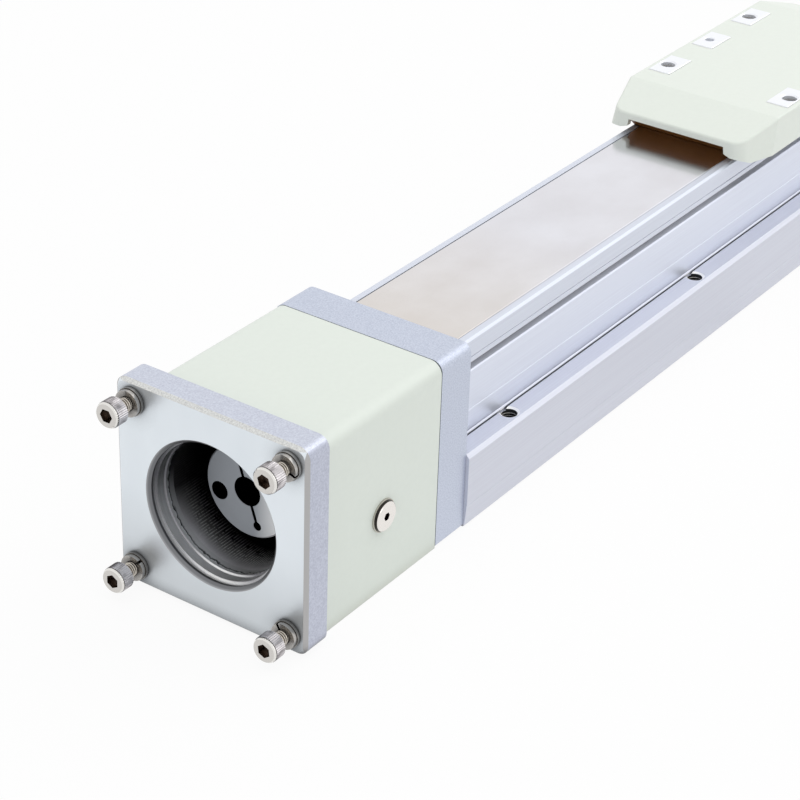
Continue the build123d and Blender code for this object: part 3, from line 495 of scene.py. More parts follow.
# Painted light on the knurled side: lighter towards the upper side that faces the camera, blotched by noise.
toward_lit_side = add(tree, "ShaderNodeVectorMath", {0: off, 1: (-0.8, 0.6, 0.0)}, operation="DOT_PRODUCT")
lit_upper_side = add(tree, RANGE, {
    "Value": toward_lit_side, "From Min": -1.5 * MM, "From Max": 3.5 * MM, "To Min": -1.0, "To Max": 0.0,
})
knurl_light_share = add(tree, MATH, {0: blots, 1: 1.8, 2: lit_upper_side}, operation="MULTIPLY_ADD", use_clamp=True)
painted_knurl_light = add(tree, MIX, {"Factor": knurl_light_share, OFF: "#565254", ON: "#D2CED0"}, data_type="RGBA")
for mask, layer in ((on_side, painted_knurl_light), (threaded, "#D6CFC5"), (socket, "#857A72")):
    tone = add(tree, MIX, {"Factor": mask, OFF: tone, ON: layer}, data_type="RGBA")
# Painted shade in the recesses.
connect(tree, shader, {"Base Color": shade_recess(tree, tone, "#171412", 1.2 * MM, 0.1, 0.8)})
print("made", cap_steel.name)

# %% [markdown]
# ## Flat heads in the cover
# The cover's screw has a low bright head in a countersink. The solid has the shape, but its narrow gap
# alone would look too pale. The distance from the screw's axis gives the dark painted shade of the gap
# round the head, a paler painted shade on the lip outside it and the black painted shade of the small
# hexagon socket in the middle.

# %% Flat head steel
HEAD_R = 3.95 * MM
LIP_R = 4.25 * MM
HEXAGON_R = 1.25 * MM
flat_head, tree, shader = finish("nickel plated flat head steel", "#E4E0DA", 1.0, 0.2)
head_low, head_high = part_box("cover_screws")
spot = axes(tree)
off_x = add(tree, MATH, {0: spot["X"], 1: (head_low.x + head_high.x) / 2}, operation="SUBTRACT")
off_z = add(tree, MATH, {0: spot["Z"], 1: (head_low.z + head_high.z) / 2}, operation="SUBTRACT")
off = add(tree, "ShaderNodeCombineXYZ", {"X": off_x, "Y": off_z})
from_axis = add(tree, "ShaderNodeVectorMath", {0: off}, operation="LENGTH")
wall = add(tree, MATH, {0: from_axis, 1: HEAD_R}, operation="GREATER_THAN")
lip = add(tree, MATH, {0: from_axis, 1: LIP_R}, operation="GREATER_THAN")
out_way = add(tree, MATH, {0: spot["Y"]}, operation="ABSOLUTE")
under = add(tree, MATH, {0: out_way, 1: head_high.y - 0.06 * MM}, operation="LESS_THAN")
key_hole = add(tree, MATH, {0: from_axis, 1: HEXAGON_R}, operation="LESS_THAN")
socket = add(tree, MATH, {0: under, 1: key_hole}, operation="MULTIPLY")
tone = "#EAE6E1"
# Painted shade in the gap round the head, a paler painted shade on the lip, and painted shade in the hexagon
# socket.
for mask, layer in ((wall, "#3D3A36"), (lip, "#B9B6AC"), (socket, "#1A1817")):
    tone = add(tree, MIX, {"Factor": mask, OFF: tone, ON: layer}, data_type="RGBA")
# Painted shade in the recesses.
connect(tree, shader, {"Base Color": shade_recess(tree, tone, "#0C0B0A", 1.0 * MM, 0.1, 0.5)})
print("made", flat_head.name)

# %% [markdown]
# ## Ground steel
# Rails, nut, screw and bearing rings are ground hard steel, with fine lines along the travel. They sit
# inside the stage, where hardly any light gets in, so their recess tint reaches 8 mm and ends nearly black.

# %% Ground steel
ground, tree, shader = finish("ground bearing steel", "#C4C8CD", 1.0, 0.2)
connect(tree, shader, {"Base Color": shade_recess(tree, "#C4C8CD", "#060607", 8.0 * MM)})
relief(tree, shader, (0.02, 1, 1), 0.3 * MM, 0.08, 0.01 * MM)
print("made", ground.name)

# %% [markdown]
# ## Inside the bore
# The housing's bore is black anodised over turning marks, and chatter marks catch the light as fine dashes.
# The angle round the axis times the radius gives the length along the circumference, so a sine of it keeps
# the real spacing of 0.72 mm, and noise lets it drift.

# %% Marks in the bore
BORE_R = 18.25 * MM
DASH_PITCH = 0.72 * MM
black_bore, tree, shader = finish("black anodised turned bore", "#2A2B2E", 0.8, 0.36)
spot, up, _ = around_axis(tree)
turn = add(tree, MATH, {0: up, 1: spot["Y"]}, operation="ARCTAN2")
along = add(tree, MATH, {0: turn, 1: BORE_R}, operation="MULTIPLY")
lean = add(tree, MATH, {0: spot["X"], 1: 0.12}, operation="MULTIPLY")
track = add(tree, "ShaderNodeCombineXYZ", {"X": along, "Y": lean})
wobble = add(tree, "ShaderNodeTexNoise", {"Vector": track, "Scale": 1 / (3.0 * MM), "Detail": 1.0})
drift = add(tree, MATH, {0: wobble, 1: 6.0}, operation="MULTIPLY")
phase = add(tree, MATH, {0: along, 1: math.tau / DASH_PITCH, 2: drift}, operation="MULTIPLY_ADD")
marks = add(tree, MATH, {0: phase}, operation="SINE")
feed = add(tree, "ShaderNodeTexNoise", {
    "Vector": place(tree, (1, 0.6, 0.6)), "Scale": 1 / (0.8 * MM), "Detail": 1.0,
})
broken = add(tree, RANGE, {"Value": feed, "From Min": 0.32, "From Max": 0.56})
woven = add(tree, MATH, {0: marks, 1: broken}, operation="MULTIPLY")
bump = add(tree, "ShaderNodeBump", {"Strength": 0.35, "Distance": 0.05 * MM, "Height": woven})
connect(tree, shader, {"Normal": bump})
print("dashes round the bore:", round(math.tau * BORE_R / DASH_PITCH))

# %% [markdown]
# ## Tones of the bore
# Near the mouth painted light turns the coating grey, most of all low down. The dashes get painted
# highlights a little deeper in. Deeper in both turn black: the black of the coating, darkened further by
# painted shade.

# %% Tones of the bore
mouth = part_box("coupling_housing")[0].x
dashes = add(tree, RANGE, {"Value": woven, "From Min": 0.0, "From Max": 0.5})
begun = add(tree, RANGE, {"Value": spot["X"], "From Min": mouth + 1.5 * MM, "From Max": mouth + 4.0 * MM})
drawn = add(tree, MATH, {0: dashes, 1: begun}, operation="MULTIPLY")
lit_low_share = add(tree, RANGE, {"Value": up, "From Min": -3 * MM, "From Max": -15 * MM, "To Min": 0.05})
layers = []
# Painted light near the mouth and low down, painted shade deeper in.
for start, end, dark, pale in (
    (0.0, 8.0 * MM, "#060607", "#F4F2F4"),
    (4.0 * MM, 11.0 * MM, "#101012", "#FFFFFF"),
):
    fade = add(tree, RANGE, {
        "Value": spot["X"], "From Min": mouth + start, "From Max": mouth + end, "To Min": 1.0, "To Max": 0.0,
    })
    lit_share = add(tree, MATH, {0: fade, 1: lit_low_share}, operation="MULTIPLY")
    layers.append(add(tree, MIX, {"Factor": lit_share, OFF: dark, ON: pale}, data_type="RGBA"))
plain, caught = layers
tint = add(tree, MIX, {"Factor": drawn, OFF: plain, ON: caught}, data_type="RGBA")
connect(tree, shader, {"Base Color": tint})
print("made", black_bore.name)

# %% [markdown]
# ## The coupling
# The coupling is bead blasted aluminium, mid grey. No light comes back out of its narrow holes and its
# slit, so on the hub in view everything behind the front face is nearly black, apart from the outer skin.
# The front face is brightest on the right, where the most light comes in through the flange.

# %% Coupling metals
HUB_SKIN_R = 12.2 * MM


def blasted_metal(name):
    """Mid grey aluminium with fine pits."""
    material, tree, shader = finish(name, "#A9ADAF", 0.45, 0.5)
    relief(tree, shader, ROUND, GRAIN, 0.15, 0.02 * MM)
    return material, tree, shader


blasted = blasted_metal("bead blasted aluminium")[0]
hub_metal, tree, shader = blasted_metal("bead blasted hub with dark holes")
spot, _, reach = around_axis(tree)
hub_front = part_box("coupling_motor_hub")[0].x
behind = add(tree, MATH, {0: spot["X"], 1: hub_front + 0.1 * MM}, operation="GREATER_THAN")
within = add(tree, MATH, {0: reach, 1: HUB_SKIN_R}, operation="LESS_THAN")
unlit = add(tree, MATH, {0: behind, 1: within}, operation="MULTIPLY")
across = add(tree, RANGE, {"Value": spot["Y"], "From Min": -2 * MM, "From Max": -10.5 * MM})
face = add(tree, MIX, {"Factor": across, OFF: "#969BA2", ON: "#FBFDFE"}, data_type="RGBA")
tint = add(tree, MIX, {"Factor": unlit, OFF: face, ON: "#020203"}, data_type="RGBA")
shine = add(tree, MATH, {0: 1.0, 1: unlit}, operation="SUBTRACT")
connect(tree, shader, {"Base Color": tint, "Specular IOR Level": shine})
print("made", blasted.name, "and", hub_metal.name)

# %% [markdown]
# ## Pads, plastics and rubber
# The table's pads are milled flat and left bright, with cutter lines 0.5 mm apart. The belt guides are a
# dark brown bearing plastic, so the mouths look brown in the belt's reflection. End caps of the guide are
# black acetal, with a faint gloss, and the bumpers are dull, gritty rubber.

# %% Bright milling, plastics and rubber
bright, tree, shader = finish("bright milled aluminium", "#F6F8FD", 0.4, 0.3)
relief(tree, shader, BRUSH_LINES, 0.5 * MM, 0.1, 0.01 * MM)

guide_brown, tree, shader = finish("brown bearing plastic", "#4A2C12", 0.0, 0.45)
flecks = add(tree, "ShaderNodeTexNoise", {"Vector": place(tree), "Scale": 1 / (0.6 * MM), "Detail": 2.0})
brown = add(tree, MIX, {"Factor": flecks, OFF: "#81511A", ON: "#5C3404"}, data_type="RGBA")
connect(tree, shader, {"Base Color": brown})

acetal = finish("black acetal", "#17181A", 0.0, 0.4)[0]
rubber, tree, shader = finish("black rubber", "#1B1B1C", 0.0, 0.75)
relief(tree, shader, ROUND, 0.4 * MM, 0.2, 0.03 * MM)
print("made", bright.name + ",", guide_brown.name + ",", acetal.name, "and", rubber.name)

# %% [markdown]
# ## Give each solid its finish
# The solids keep their shape. Only the material in their slots changes, so a table from material to nodes
# is enough.

# %% Assign the finishes
finishes = {
    flange_metal: ["motor_plate"],
    milled: ["bearing_block", "end_block"],
    extruded: ["base_profile"],
    strip_metal: ["side_cover_left", "side_cover_right"],
    enamel: ["housing_cover"],
    moulding: ["carriage_cover"],
    belt_steel: ["belt_hump"],
    plated: [
        "housing_screws", "bearing_block_screws", "retainer_screws", "coupling_clamp_screws",
        "belt_clamp_screws", "end_block_screws", "nut_screws", "table_screws",
    ],
    washer_steel: ["motor_split_washers", "motor_flat_washers"],
    flat_head: ["cover_screws"],
    ground: [
        "fixed_bearing_outer_rings", "fixed_bearing_inner_rings", "support_bearing_outer_ring",
        "support_bearing_inner_ring", "journal_spacer", "guide_rail_left", "guide_rail_right", "ball_nut",
        "coupling_discs",
    ],
    black_bore: ["coupling_housing", "lock_nut"],
    hub_metal: ["coupling_motor_hub"],
    blasted: ["coupling_screw_hub", "coupling_centre_ring", "bearing_retainer"],
    bright: ["carriage_table", "guide_block", "belt_anchors", "belt_clamps"],
    guide_brown: ["belt_guides"],
    acetal: ["guide_caps"],
    rubber: ["bumpers"],
}
for material, names in finishes.items():
    for name in names:
        nodes[name].data.materials.clear()
        nodes[name].data.materials.append(material)
print("solids with a finish:", sum(len(names) for names in finishes.values()))

# %% [markdown]
# ## A workbench for Geometry Nodes
# Screws, threads and balls repeat, so they are grown by node trees. Each tree has named inputs for its
# sizes and is built standing on Z. One helper opens a tree and one closes it. The last runs it on an empty
# mesh, sets its inputs by their identifiers and keeps the plain mesh.

# %% Tree helpers


def open_tree(name, sizes):
    """A geometry tree with float inputs in metres, and the outputs of its group input."""
    tree = bpy.data.node_groups.new(name, "GeometryNodeTree")
    tree.interface.new_socket("Geometry", in_out="OUTPUT", socket_type="NodeSocketGeometry")
    for label, value in sizes.items():
        socket = tree.interface.new_socket(label, in_out="INPUT", socket_type="NodeSocketFloat")
        socket.default_value = value
    return tree, add(tree, "NodeGroupInput").outputs


def close_tree(tree, geometry, material):
    """Realize the instances, set the material and connect the output."""
    solid = add(tree, "GeometryNodeRealizeInstances", {"Geometry": geometry})
    coated = add(tree, "GeometryNodeSetMaterial", {"Geometry": solid, "Material": material})
    add(tree, "NodeGroupOutput", {"Geometry": coated})


def grow(name, tree, body, move, sizes=None):
    """Run a tree, keep its mesh as a plain object at the origin, and let it ride on a body."""
    holder = bpy.data.objects.new("seed", bpy.data.meshes.new("seed"))
    bpy.context.scene.collection.objects.link(holder)
    modifier = holder.modifiers.new("grow", "NODES")
    modifier.node_group = tree
    sockets = {item.name: item.identifier for item in tree.interface.items_tree if item.in_out == "INPUT"}
    for label, value in (sizes or {}).items():
        modifier[sockets[label]] = value
    bpy.context.view_layer.update()
    evaluated = holder.evaluated_get(bpy.context.evaluated_depsgraph_get())
    mesh = bpy.data.meshes.new_from_object(evaluated)
    holder.modifiers.clear()
    bpy.data.objects.remove(holder)
    mesh.name = name
    mesh.transform(move)
    piece = bpy.data.objects.new(name, mesh)
    bpy.context.scene.collection.objects.link(piece)
    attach(piece, body)
    print(name, "has", len(mesh.vertices), "vertices")
    return piece


print("tree helpers ready")

# %% [markdown]
# ## Motor screws
# Each screw is an M4 socket-head cap screw: a head with straight knurling, a hexagon socket and a rolled
# thread of 0.7 mm pitch. The head is a cylinder whose rim is pushed in and out by a cosine of the angle
# round its axis, 40 teeth in all. The teeth end below a bevel at the top. Cut by hand, the teeth would have
# to be redone for each change. In a tree they follow its inputs.

# %% One cap screw, standing on Z with its head up
TEETH = 40.0
HEAD_HEIGHT = 4.0 * MM
BEVEL = 0.5 * MM
tree, size = open_tree("cap screw", {
    "Head radius": 3.5 * MM, "Head height": HEAD_HEIGHT, "Across flats": 3.3 * MM, "Core radius": 1.62 * MM,
    "Length": 12.0 * MM, "Pitch": 0.7 * MM, "Crest": 0.34 * MM, "Knurl": 0.16 * MM, "Square": SCREW_SQUARE,
})
head = add(tree, "GeometryNodeMeshCylinder", {
    "Vertices": 240, "Side Segments": 10, "Radius": size["Head radius"], "Depth": size["Head height"],
}, fill_type="NGON")
where = add(tree, "GeometryNodeInputPosition")
spot = add(tree, "ShaderNodeSeparateXYZ", {"Vector": where}).outputs
angle = add(tree, MATH, {0: spot["Y"], 1: spot["X"]}, operation="ARCTAN2")
teeth = add(tree, MATH, {0: angle, 1: TEETH}, operation="MULTIPLY")
wave = add(tree, MATH, {0: teeth}, operation="COSINE")
half = add(tree, MATH, {0: size["Head height"], 1: 0.5}, operation="MULTIPLY")
level = add(tree, MATH, {0: spot["Z"], 1: half}, operation="DIVIDE")
knurled = add(tree, RANGE, {"Value": level, "From Min": 0.68, "From Max": 0.5})
ridge = add(tree, RANGE, {"Value": wave, "From Min": -1.0, "From Max": 1.0, "To Min": -1.0, "To Max": 0.0})
push = add(tree, MATH, {0: ridge, 1: size["Knurl"]}, operation="MULTIPLY")
rim = add(tree, MATH, {0: push, 1: knurled}, operation="MULTIPLY")
bevel = add(tree, RANGE, {"Value": level, "From Min": 0.7, "From Max": 1.0, "To Max": -BEVEL})
inward = add(tree, MATH, {0: rim, 1: bevel}, operation="ADD")
flat = add(tree, "ShaderNodeCombineXYZ", {"X": spot["X"], "Y": spot["Y"]})
outward = add(tree, "ShaderNodeVectorMath", {0: flat}, operation="NORMALIZE")
shift = add(tree, "ShaderNodeVectorMath", {0: outward, "Scale": inward}, operation="SCALE")
shaped = add(tree, "GeometryNodeSetPosition", {"Geometry": head, "Offset": shift})
print(tree.name, "has", len(size) - 1, "named inputs")

# %% [markdown]
# ## Socket, shank and thread
# A hexagonal prism cuts the socket. The thread is a triangle swept along a spiral. Four copies stand on the
# corners of the 47.14 mm square, each turned by a random angle with a fixed seed.

# %% Its socket, shank and thread
FULL_TURN = 6.28
CORNER_PER_FLATS = 0.57735
SOCKET_RAISED = 0.45
THREADED_SHARE = 0.94


def lift(tree, geometry, height):
    """Move geometry along Z."""
    way = add(tree, "ShaderNodeCombineXYZ", {"Z": height})
    return add(tree, "GeometryNodeTransform", {"Geometry": geometry, "Translation": way})


hex_radius = add(tree, MATH, {0: size["Across flats"], 1: CORNER_PER_FLATS}, operation="MULTIPLY")
hexagon = add(tree, "GeometryNodeMeshCylinder", {
    "Vertices": 6, "Radius": hex_radius, "Depth": size["Head height"],
})
hex_lift = add(tree, MATH, {0: size["Head height"], 1: SOCKET_RAISED}, operation="MULTIPLY")
drilled = add(tree, "GeometryNodeMeshBoolean", {
    "Mesh 1": shaped, "Mesh 2": lift(tree, hexagon, hex_lift),
}, operation="DIFFERENCE")
shank = add(tree, "GeometryNodeMeshCylinder", {
    "Vertices": 32, "Radius": size["Core radius"], "Depth": size["Length"],
}, fill_type="NGON")
half_length = add(tree, MATH, {0: size["Length"], 1: -0.5}, operation="MULTIPLY")
below = add(tree, MATH, {0: half_length, 1: half}, operation="SUBTRACT")
turns = add(tree, MATH, {0: size["Length"], 1: size["Pitch"]}, operation="DIVIDE")
climb = add(tree, MATH, {0: size["Length"], 1: THREADED_SHARE}, operation="MULTIPLY")
spiral = add(tree, "GeometryNodeCurveSpiral", {
    "Resolution": 24, "Rotations": turns, "Height": climb,
    "Start Radius": size["Core radius"], "End Radius": size["Core radius"],
})
crest = add(tree, "GeometryNodeCurvePrimitiveCircle", {"Resolution": 3, "Radius": size["Crest"]})
thread = add(tree, "GeometryNodeCurveToMesh", {"Curve": spiral, "Profile Curve": crest, "Fill Caps": True})
thread_foot = add(tree, MATH, {0: climb, 1: half}, operation="ADD")
thread_down = add(tree, MATH, {0: thread_foot, 1: -1.0}, operation="MULTIPLY")
screw_parts = add(tree, "GeometryNodeJoinGeometry")
for part in (drilled, lift(tree, shank, below), lift(tree, thread, thread_down)):
    connect(tree, screw_parts, {0: part})
corners = add(tree, "GeometryNodeMeshGrid", {
    "Size X": size["Square"], "Size Y": size["Square"], "Vertices X": 2, "Vertices Y": 2,
})
chance = add(tree, "FunctionNodeRandomValue", {2: 0.0, 3: FULL_TURN, "Seed": 5}, data_type="FLOAT")
spin = add(tree, "ShaderNodeCombineXYZ", {"Z": chance})
screws = add(tree, "GeometryNodeInstanceOnPoints", {
    "Points": corners, "Instance": screw_parts, "Rotation": spin,
})
close_tree(tree, screws, cap_steel)
FACE_MINUS_X = Matrix.Rotation(math.radians(-90), 4, "Y")
head_middle = Vector((screw_end + HEAD_HEIGHT / 2, 0, AXIS_Z))
motor_screws = grow("motor_cap_screws", tree, "base", Matrix.Translation(head_middle) @ FACE_MINUS_X)
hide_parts("motor_screws")

# %% [markdown]
# ## Threads in the tapped holes
# The ledge holes and the carriage's pads are tapped M5. From above, the thread shows as rings in the dark
# of the hole. The same spiral works inside out: a fine triangle swept along the hole's wall, copied to each
# hole's place.

# %% Tapped holes


def middle_x(name):
    """The middle of a solid along X."""
    low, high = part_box(name)
    return (low.x + high.x) / 2


tree, size = open_tree("tapped hole thread", {
    "Wall radius": 2.25 * MM, "Depth": 7.0 * MM, "Pitch": 0.8 * MM, "Crest": 0.26 * MM,
    "Along": 300.0 * MM, "Across": 2 * HOLE_Y, "Columns": 4.0,
})
turns = add(tree, MATH, {0: size["Depth"], 1: size["Pitch"]}, operation="DIVIDE")
spiral = add(tree, "GeometryNodeCurveSpiral", {
    "Resolution": 28, "Rotations": turns, "Height": size["Depth"],
    "Start Radius": size["Wall radius"], "End Radius": size["Wall radius"],
})
crest = add(tree, "GeometryNodeCurvePrimitiveCircle", {"Resolution": 3, "Radius": size["Crest"]})
thread = add(tree, "GeometryNodeCurveToMesh", {"Curve": spiral, "Profile Curve": crest, "Fill Caps": True})
columns = add(tree, "FunctionNodeFloatToInt", {"Float": size["Columns"]})
hole_grid = add(tree, "GeometryNodeMeshGrid", {
    "Size X": size["Along"], "Size Y": size["Across"], "Vertices X": columns, "Vertices Y": 2,
})
threads = add(tree, "GeometryNodeInstanceOnPoints", {"Points": hole_grid, "Instance": thread})
close_tree(tree, threads, plated)
ledge_threads = grow("ledge_hole_threads", tree, "base", Matrix.Translation((0, 0, LEDGE_Z - 8.0 * MM)))
pad_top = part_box("carriage_table")[1].z
pad_threads = grow(
    "carriage_hole_threads", tree, "carriage",
    Matrix.Translation((middle_x("carriage_cover"), 0, pad_top - 6.2 * MM)),
    {"Depth": 5.0 * MM, "Along": 53.0 * MM, "Across": 42.2 * MM, "Columns": 2.0},
)

# %% [markdown]
# ## The ball screw's track
# The shaft is a 12 mm rod with a ball track of 10 mm lead. What is left between two turns of the track is a
# flat land, so a rectangle swept along the spiral on a thinner core gives the shape. The journals at both
# ends stay plain.

# %% Ball screw
screw_low, screw_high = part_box("ball_screw")
journal_low, journal_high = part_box("fixed_bearing_inner_rings")
PAST_RINGS = 9.6 * MM
journal_long = journal_high.x - journal_low.x + PAST_RINGS
tree, size = open_tree("ball track", {
    "Core radius": 5.15 * MM, "Outer radius": 6.0 * MM, "Journal radius": 5.0 * MM, "Tail radius": 4.0 * MM,
    "Length": 340.0 * MM, "Core overrun": 7.0 * MM, "Lead": 10.0 * MM, "Land": 6.2 * MM,
})
turns = add(tree, MATH, {0: size["Length"], 1: size["Lead"]}, operation="DIVIDE")
both = add(tree, MATH, {0: size["Core radius"], 1: size["Outer radius"]}, operation="ADD")
land_radius = add(tree, MATH, {0: both, 1: 0.5}, operation="MULTIPLY")
spiral = add(tree, "GeometryNodeCurveSpiral", {
    "Resolution": 40, "Rotations": turns, "Start Radius": land_radius, "End Radius": land_radius,
    "Height": size["Length"],
})
land_height = add(tree, MATH, {0: size["Outer radius"], 1: size["Core radius"]}, operation="SUBTRACT")
land = add(tree, "GeometryNodeCurvePrimitiveQuadrilateral", {"Width": land_height, "Height": size["Land"]})
upright = add(tree, "GeometryNodeSetCurveNormal", {"Curve": spiral}, mode="Z_UP")
lands = add(tree, "GeometryNodeCurveToMesh", {"Curve": upright, "Profile Curve": land, "Fill Caps": True})
half_length = add(tree, MATH, {0: size["Length"], 1: -0.5}, operation="MULTIPLY")
core_length = add(tree, MATH, {0: size["Length"], 1: size["Core overrun"]}, operation="ADD")
core = add(tree, "GeometryNodeMeshCylinder", {
    "Vertices": 64, "Radius": size["Core radius"], "Depth": core_length,
})
tail = add(tree, "GeometryNodeMeshCylinder", {
    "Vertices": 48, "Radius": size["Tail radius"], "Depth": screw_high.x - screw_low.x,
})
journal = add(tree, "GeometryNodeMeshCylinder", {
    "Vertices": 48, "Radius": size["Journal radius"], "Depth": journal_long,
})
shaft_parts = add(tree, "GeometryNodeJoinGeometry")
tail_set = lift(tree, tail, middle_x("ball_screw"))
journal_set = lift(tree, journal, journal_high.x - journal_long / 2)
for part in (lift(tree, lands, half_length), core, tail_set, journal_set):
    connect(tree, shaft_parts, {0: part})
close_tree(tree, shaft_parts, ground)
LIE_ALONG_X = Matrix.Rotation(math.radians(90), 4, "Y")
on_axis = Matrix.Translation((0, 0, AXIS_Z)) @ LIE_ALONG_X
ball_screw = grow("ball_screw_shaft", tree, "screw", on_axis)
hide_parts("ball_screw")

# %% [markdown]
# ## Balls of the bearings
# A ball bearing needs its balls, though the block hides them. A circle of points carries one small sphere
# each. The same tree gives the two fixed bearings and the support bearing by changing its inputs.

# %% Bearing balls
tree, size = open_tree("ball ring", {"Ring radius": 9.0 * MM, "Ball radius": 1.85 * MM, "Balls": 11.0})
count = add(tree, "FunctionNodeFloatToInt", {"Float": size["Balls"]})
circle = add(tree, "GeometryNodeMeshCircle", {"Vertices": count, "Radius": size["Ring radius"]})
ball = add(tree, "GeometryNodeMeshIcoSphere", {"Radius": size["Ball radius"], "Subdivisions": 3})
smooth = add(tree, "GeometryNodeSetShadeSmooth", {"Geometry": ball})
balls = add(tree, "GeometryNodeInstanceOnPoints", {"Points": circle, "Instance": smooth})
close_tree(tree, balls, ground)
RACE_SHIFT = 4.0 * MM
fixed_x = middle_x("fixed_bearing_inner_rings")
support_x = middle_x("support_bearing_inner_ring")
small = {"Ring radius": 7.5 * MM, "Ball radius": 1.6 * MM, "Balls": 9.0}
for name, ring_x, sizes in (
    ("fixed_bearing_balls_1", fixed_x - RACE_SHIFT, {}),
    ("fixed_bearing_balls_2", fixed_x + RACE_SHIFT, {}),
    ("support_bearing_balls", support_x, small),
):
    ring = grow(name, tree, "screw", Matrix.Translation((ring_x, 0, 0)) @ on_axis, sizes)

# %% [markdown]
# ## The steel belt
# The belt is 32 mm wide and 0.3 mm thick. It lies flat on the side covers and dives into the carriage. As
# the carriage runs, one flat part grows and the other shrinks, so each is a strip with corners at its two
# ends only, and whatever lies between stays straight.

# %% Two flat runs


def belt_run(name, node, fixed_x, moving_x):
    """A thin strip between two ends along X."""
    low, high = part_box(node)
    soft = 0.08 * MM
    outline = [
        (low.y, low.z + soft), (low.y + soft, low.z), (high.y - soft, low.z), (high.y, low.z + soft),
        (high.y, high.z - soft), (high.y - soft, high.z), (low.y + soft, high.z), (low.y, high.z - soft),
    ]
    near_x, far_x = sorted((fixed_x, moving_x))
    vertices = [(x, y, z) for x in (near_x, far_x) for y, z in outline]
    count = len(outline)
    sides = [(i, (i + 1) % count, count + (i + 1) % count, count + i) for i in range(count)]
    ends = [tuple(range(count))[::-1], tuple(range(count, 2 * count))]
    mesh = bpy.data.meshes.new(name)
    mesh.from_pydata(vertices, [], [face[::-1] for face in sides + ends])
    mesh.materials.append(belt_steel)
    mesh.validate()
    run = bpy.data.objects.new(name, mesh)
    bpy.context.scene.collection.objects.link(run)
    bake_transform(run)
    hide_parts(node)
    print(name, "is", round((far_x - near_x) / MM, 1), "mm long")


front_low, front_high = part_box("belt_front")
rear_low, rear_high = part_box("belt_rear")
belt_run("belt_front_run", "belt_front", front_low.x, front_high.x)
belt_run("belt_rear_run", "belt_rear", rear_high.x, rear_low.x)

# %% [markdown]
# ## Floor and backdrop
# The photograph is a studio cut-out on pure white. A plain floor under the stage catches the shadow. For
# the camera, for gloss and for glass it counts as white, through Light Path, and the world does the same,
# so no lamp has to be pushed. What the world itself sheds on the stage is dimmer.

# %% Floor and world
FLOOR_WHITE = 0.93
WORLD_LIGHT = 0.55


def seen_share(tree):
    """1 for rays of the camera, of gloss and of glass, 0 for all others."""
    rays = add(tree, "ShaderNodeLightPath").outputs
    seen = add(tree, MATH, {0: rays["Is Camera Ray"], 1: rays["Is Glossy Ray"]}, operation="MAXIMUM")
    return add(tree, MATH, {0: seen, 1: rays["Is Transmission Ray"]}, operation="MAXIMUM")


bpy.ops.mesh.primitive_plane_add(size=8.0, location=(0, 0, -0.1 * MM))
floor = bpy.context.object
floor.name = "floor"
floor_paint = bpy.data.materials.new("pale studio floor")
floor_paint.use_nodes = True
tree = floor_paint.node_tree
tree.nodes.clear()
matt = add(tree, "ShaderNodeBsdfDiffuse", {"Color": "#F2F2F2"})
white = add(tree, "ShaderNodeEmission", {"Color": "#FFFFFF", "Strength": 1.0})
share = add(tree, MATH, {0: seen_share(tree), 1: FLOOR_WHITE}, operation="MULTIPLY")
blend = add(tree, "ShaderNodeMixShader", {0: share, 1: matt, 2: white})
add(tree, "ShaderNodeOutputMaterial", {"Surface": blend})
floor.data.materials.append(floor_paint)

world = bpy.data.worlds.new("studio")
bpy.context.scene.world = world
world.use_nodes = True
tree = world.node_tree
tree.nodes.clear()
level = add(tree, RANGE, {"Value": seen_share(tree), "To Min": WORLD_LIGHT, "To Max": 1.0})
sky = add(tree, "ShaderNodeBackground", {"Color": "#FFFFFF", "Strength": level})
add(tree, "ShaderNodeOutputWorld", {"Surface": sky})
print("floor and world ready")

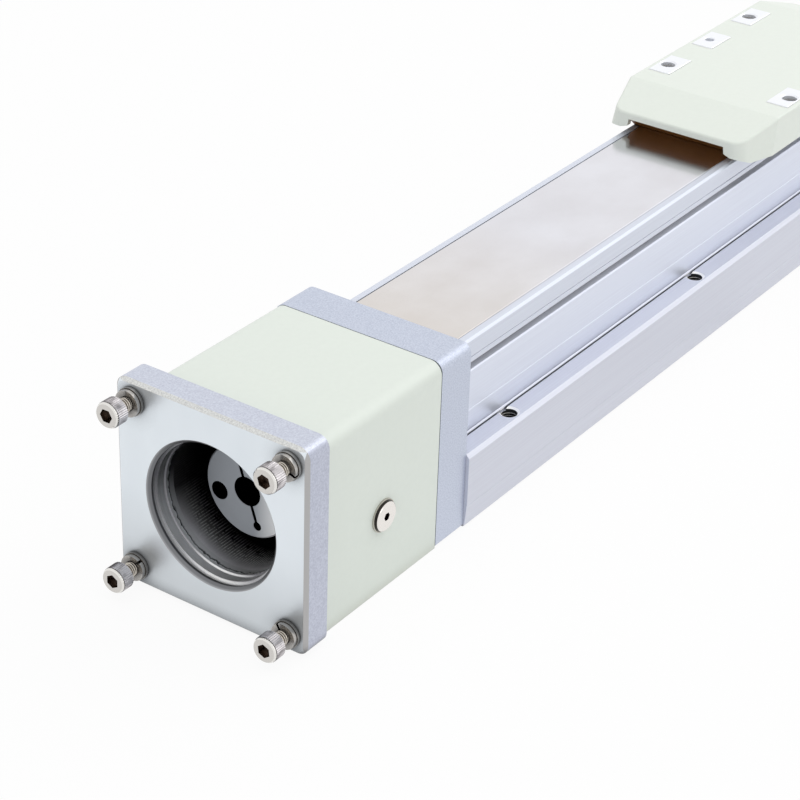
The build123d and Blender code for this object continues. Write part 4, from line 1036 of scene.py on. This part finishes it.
# %% [markdown]
# ## Lamps
# Small lamps would give hard shadows, unlike the studio. So a large key lamp hangs over the stage, with
# fills at the side and in front and a rim lamp at the far end. The key is hidden from gloss: its glow would
# add to the white world in the belt's mirror and clip it when seen from above.

# %% Lamps
TARGET = Vector((-0.16, 0, 0.03))


def soft_box(name, where, size, power):
    """A square area lamp that looks at the stage."""
    lamp = bpy.data.lights.new(name, "AREA")
    lamp.shape = "SQUARE"
    lamp.size = size
    lamp.energy = power
    holder = bpy.data.objects.new(name, lamp)
    holder.location = where
    holder.rotation_euler = (TARGET - Vector(where)).to_track_quat("-Z", "Y").to_euler()
    bpy.context.scene.collection.objects.link(holder)
    return holder


soft_box("key", (0.15, -0.1, 1.35), 1.8, 10.6).visible_glossy = False
soft_box("side fill", (-0.3, -1.3, 0.6), 0.9, 1.4)
soft_box("front fill", (-1.5, 0.1, 0.5), 0.8, 1.4)
soft_box("far rim", (0.83, -0.49, 0.81), 0.8, 1.8)
bpy.context.scene.view_settings.view_transform = "Standard"

# %% [markdown]
# ## Camera
# The camera was fitted to the photograph: 107.5 mm lens on a 36 mm sensor, 517 mm from the flange, 30
# degrees above the bench, with a slight roll. Azimuth 0 looks along +Y. The three directions make the
# camera's rotation matrix.

# %% Camera
AZIMUTH = math.radians(-55.618)
ELEVATION = math.radians(30.183)
ROLL = math.radians(1.911)
CAMERA_PLACE = (-0.61547, -0.30630, 0.34093)
flat_way = math.cos(ELEVATION)
back = Vector((math.sin(AZIMUTH) * flat_way, -math.cos(AZIMUTH) * flat_way, math.sin(ELEVATION)))
level_right = (-back).cross(Vector((0, 0, 1))).normalized()
level_up = level_right.cross(-back)
right = math.cos(ROLL) * level_right + math.sin(ROLL) * level_up
up = -math.sin(ROLL) * level_right + math.cos(ROLL) * level_up
lens = bpy.data.cameras.new("camera")
lens.sensor_width = 36.0
lens.lens = 107.526
lens.clip_start = 0.01
camera = bpy.data.objects.new("camera", lens)
camera.matrix_world = Matrix.Translation(CAMERA_PLACE) @ Matrix((right, up, back)).transposed().to_4x4()
bpy.context.scene.collection.objects.link(camera)
bpy.context.scene.camera = camera
print("camera at", [round(value, 4) for value in camera.matrix_world.translation])
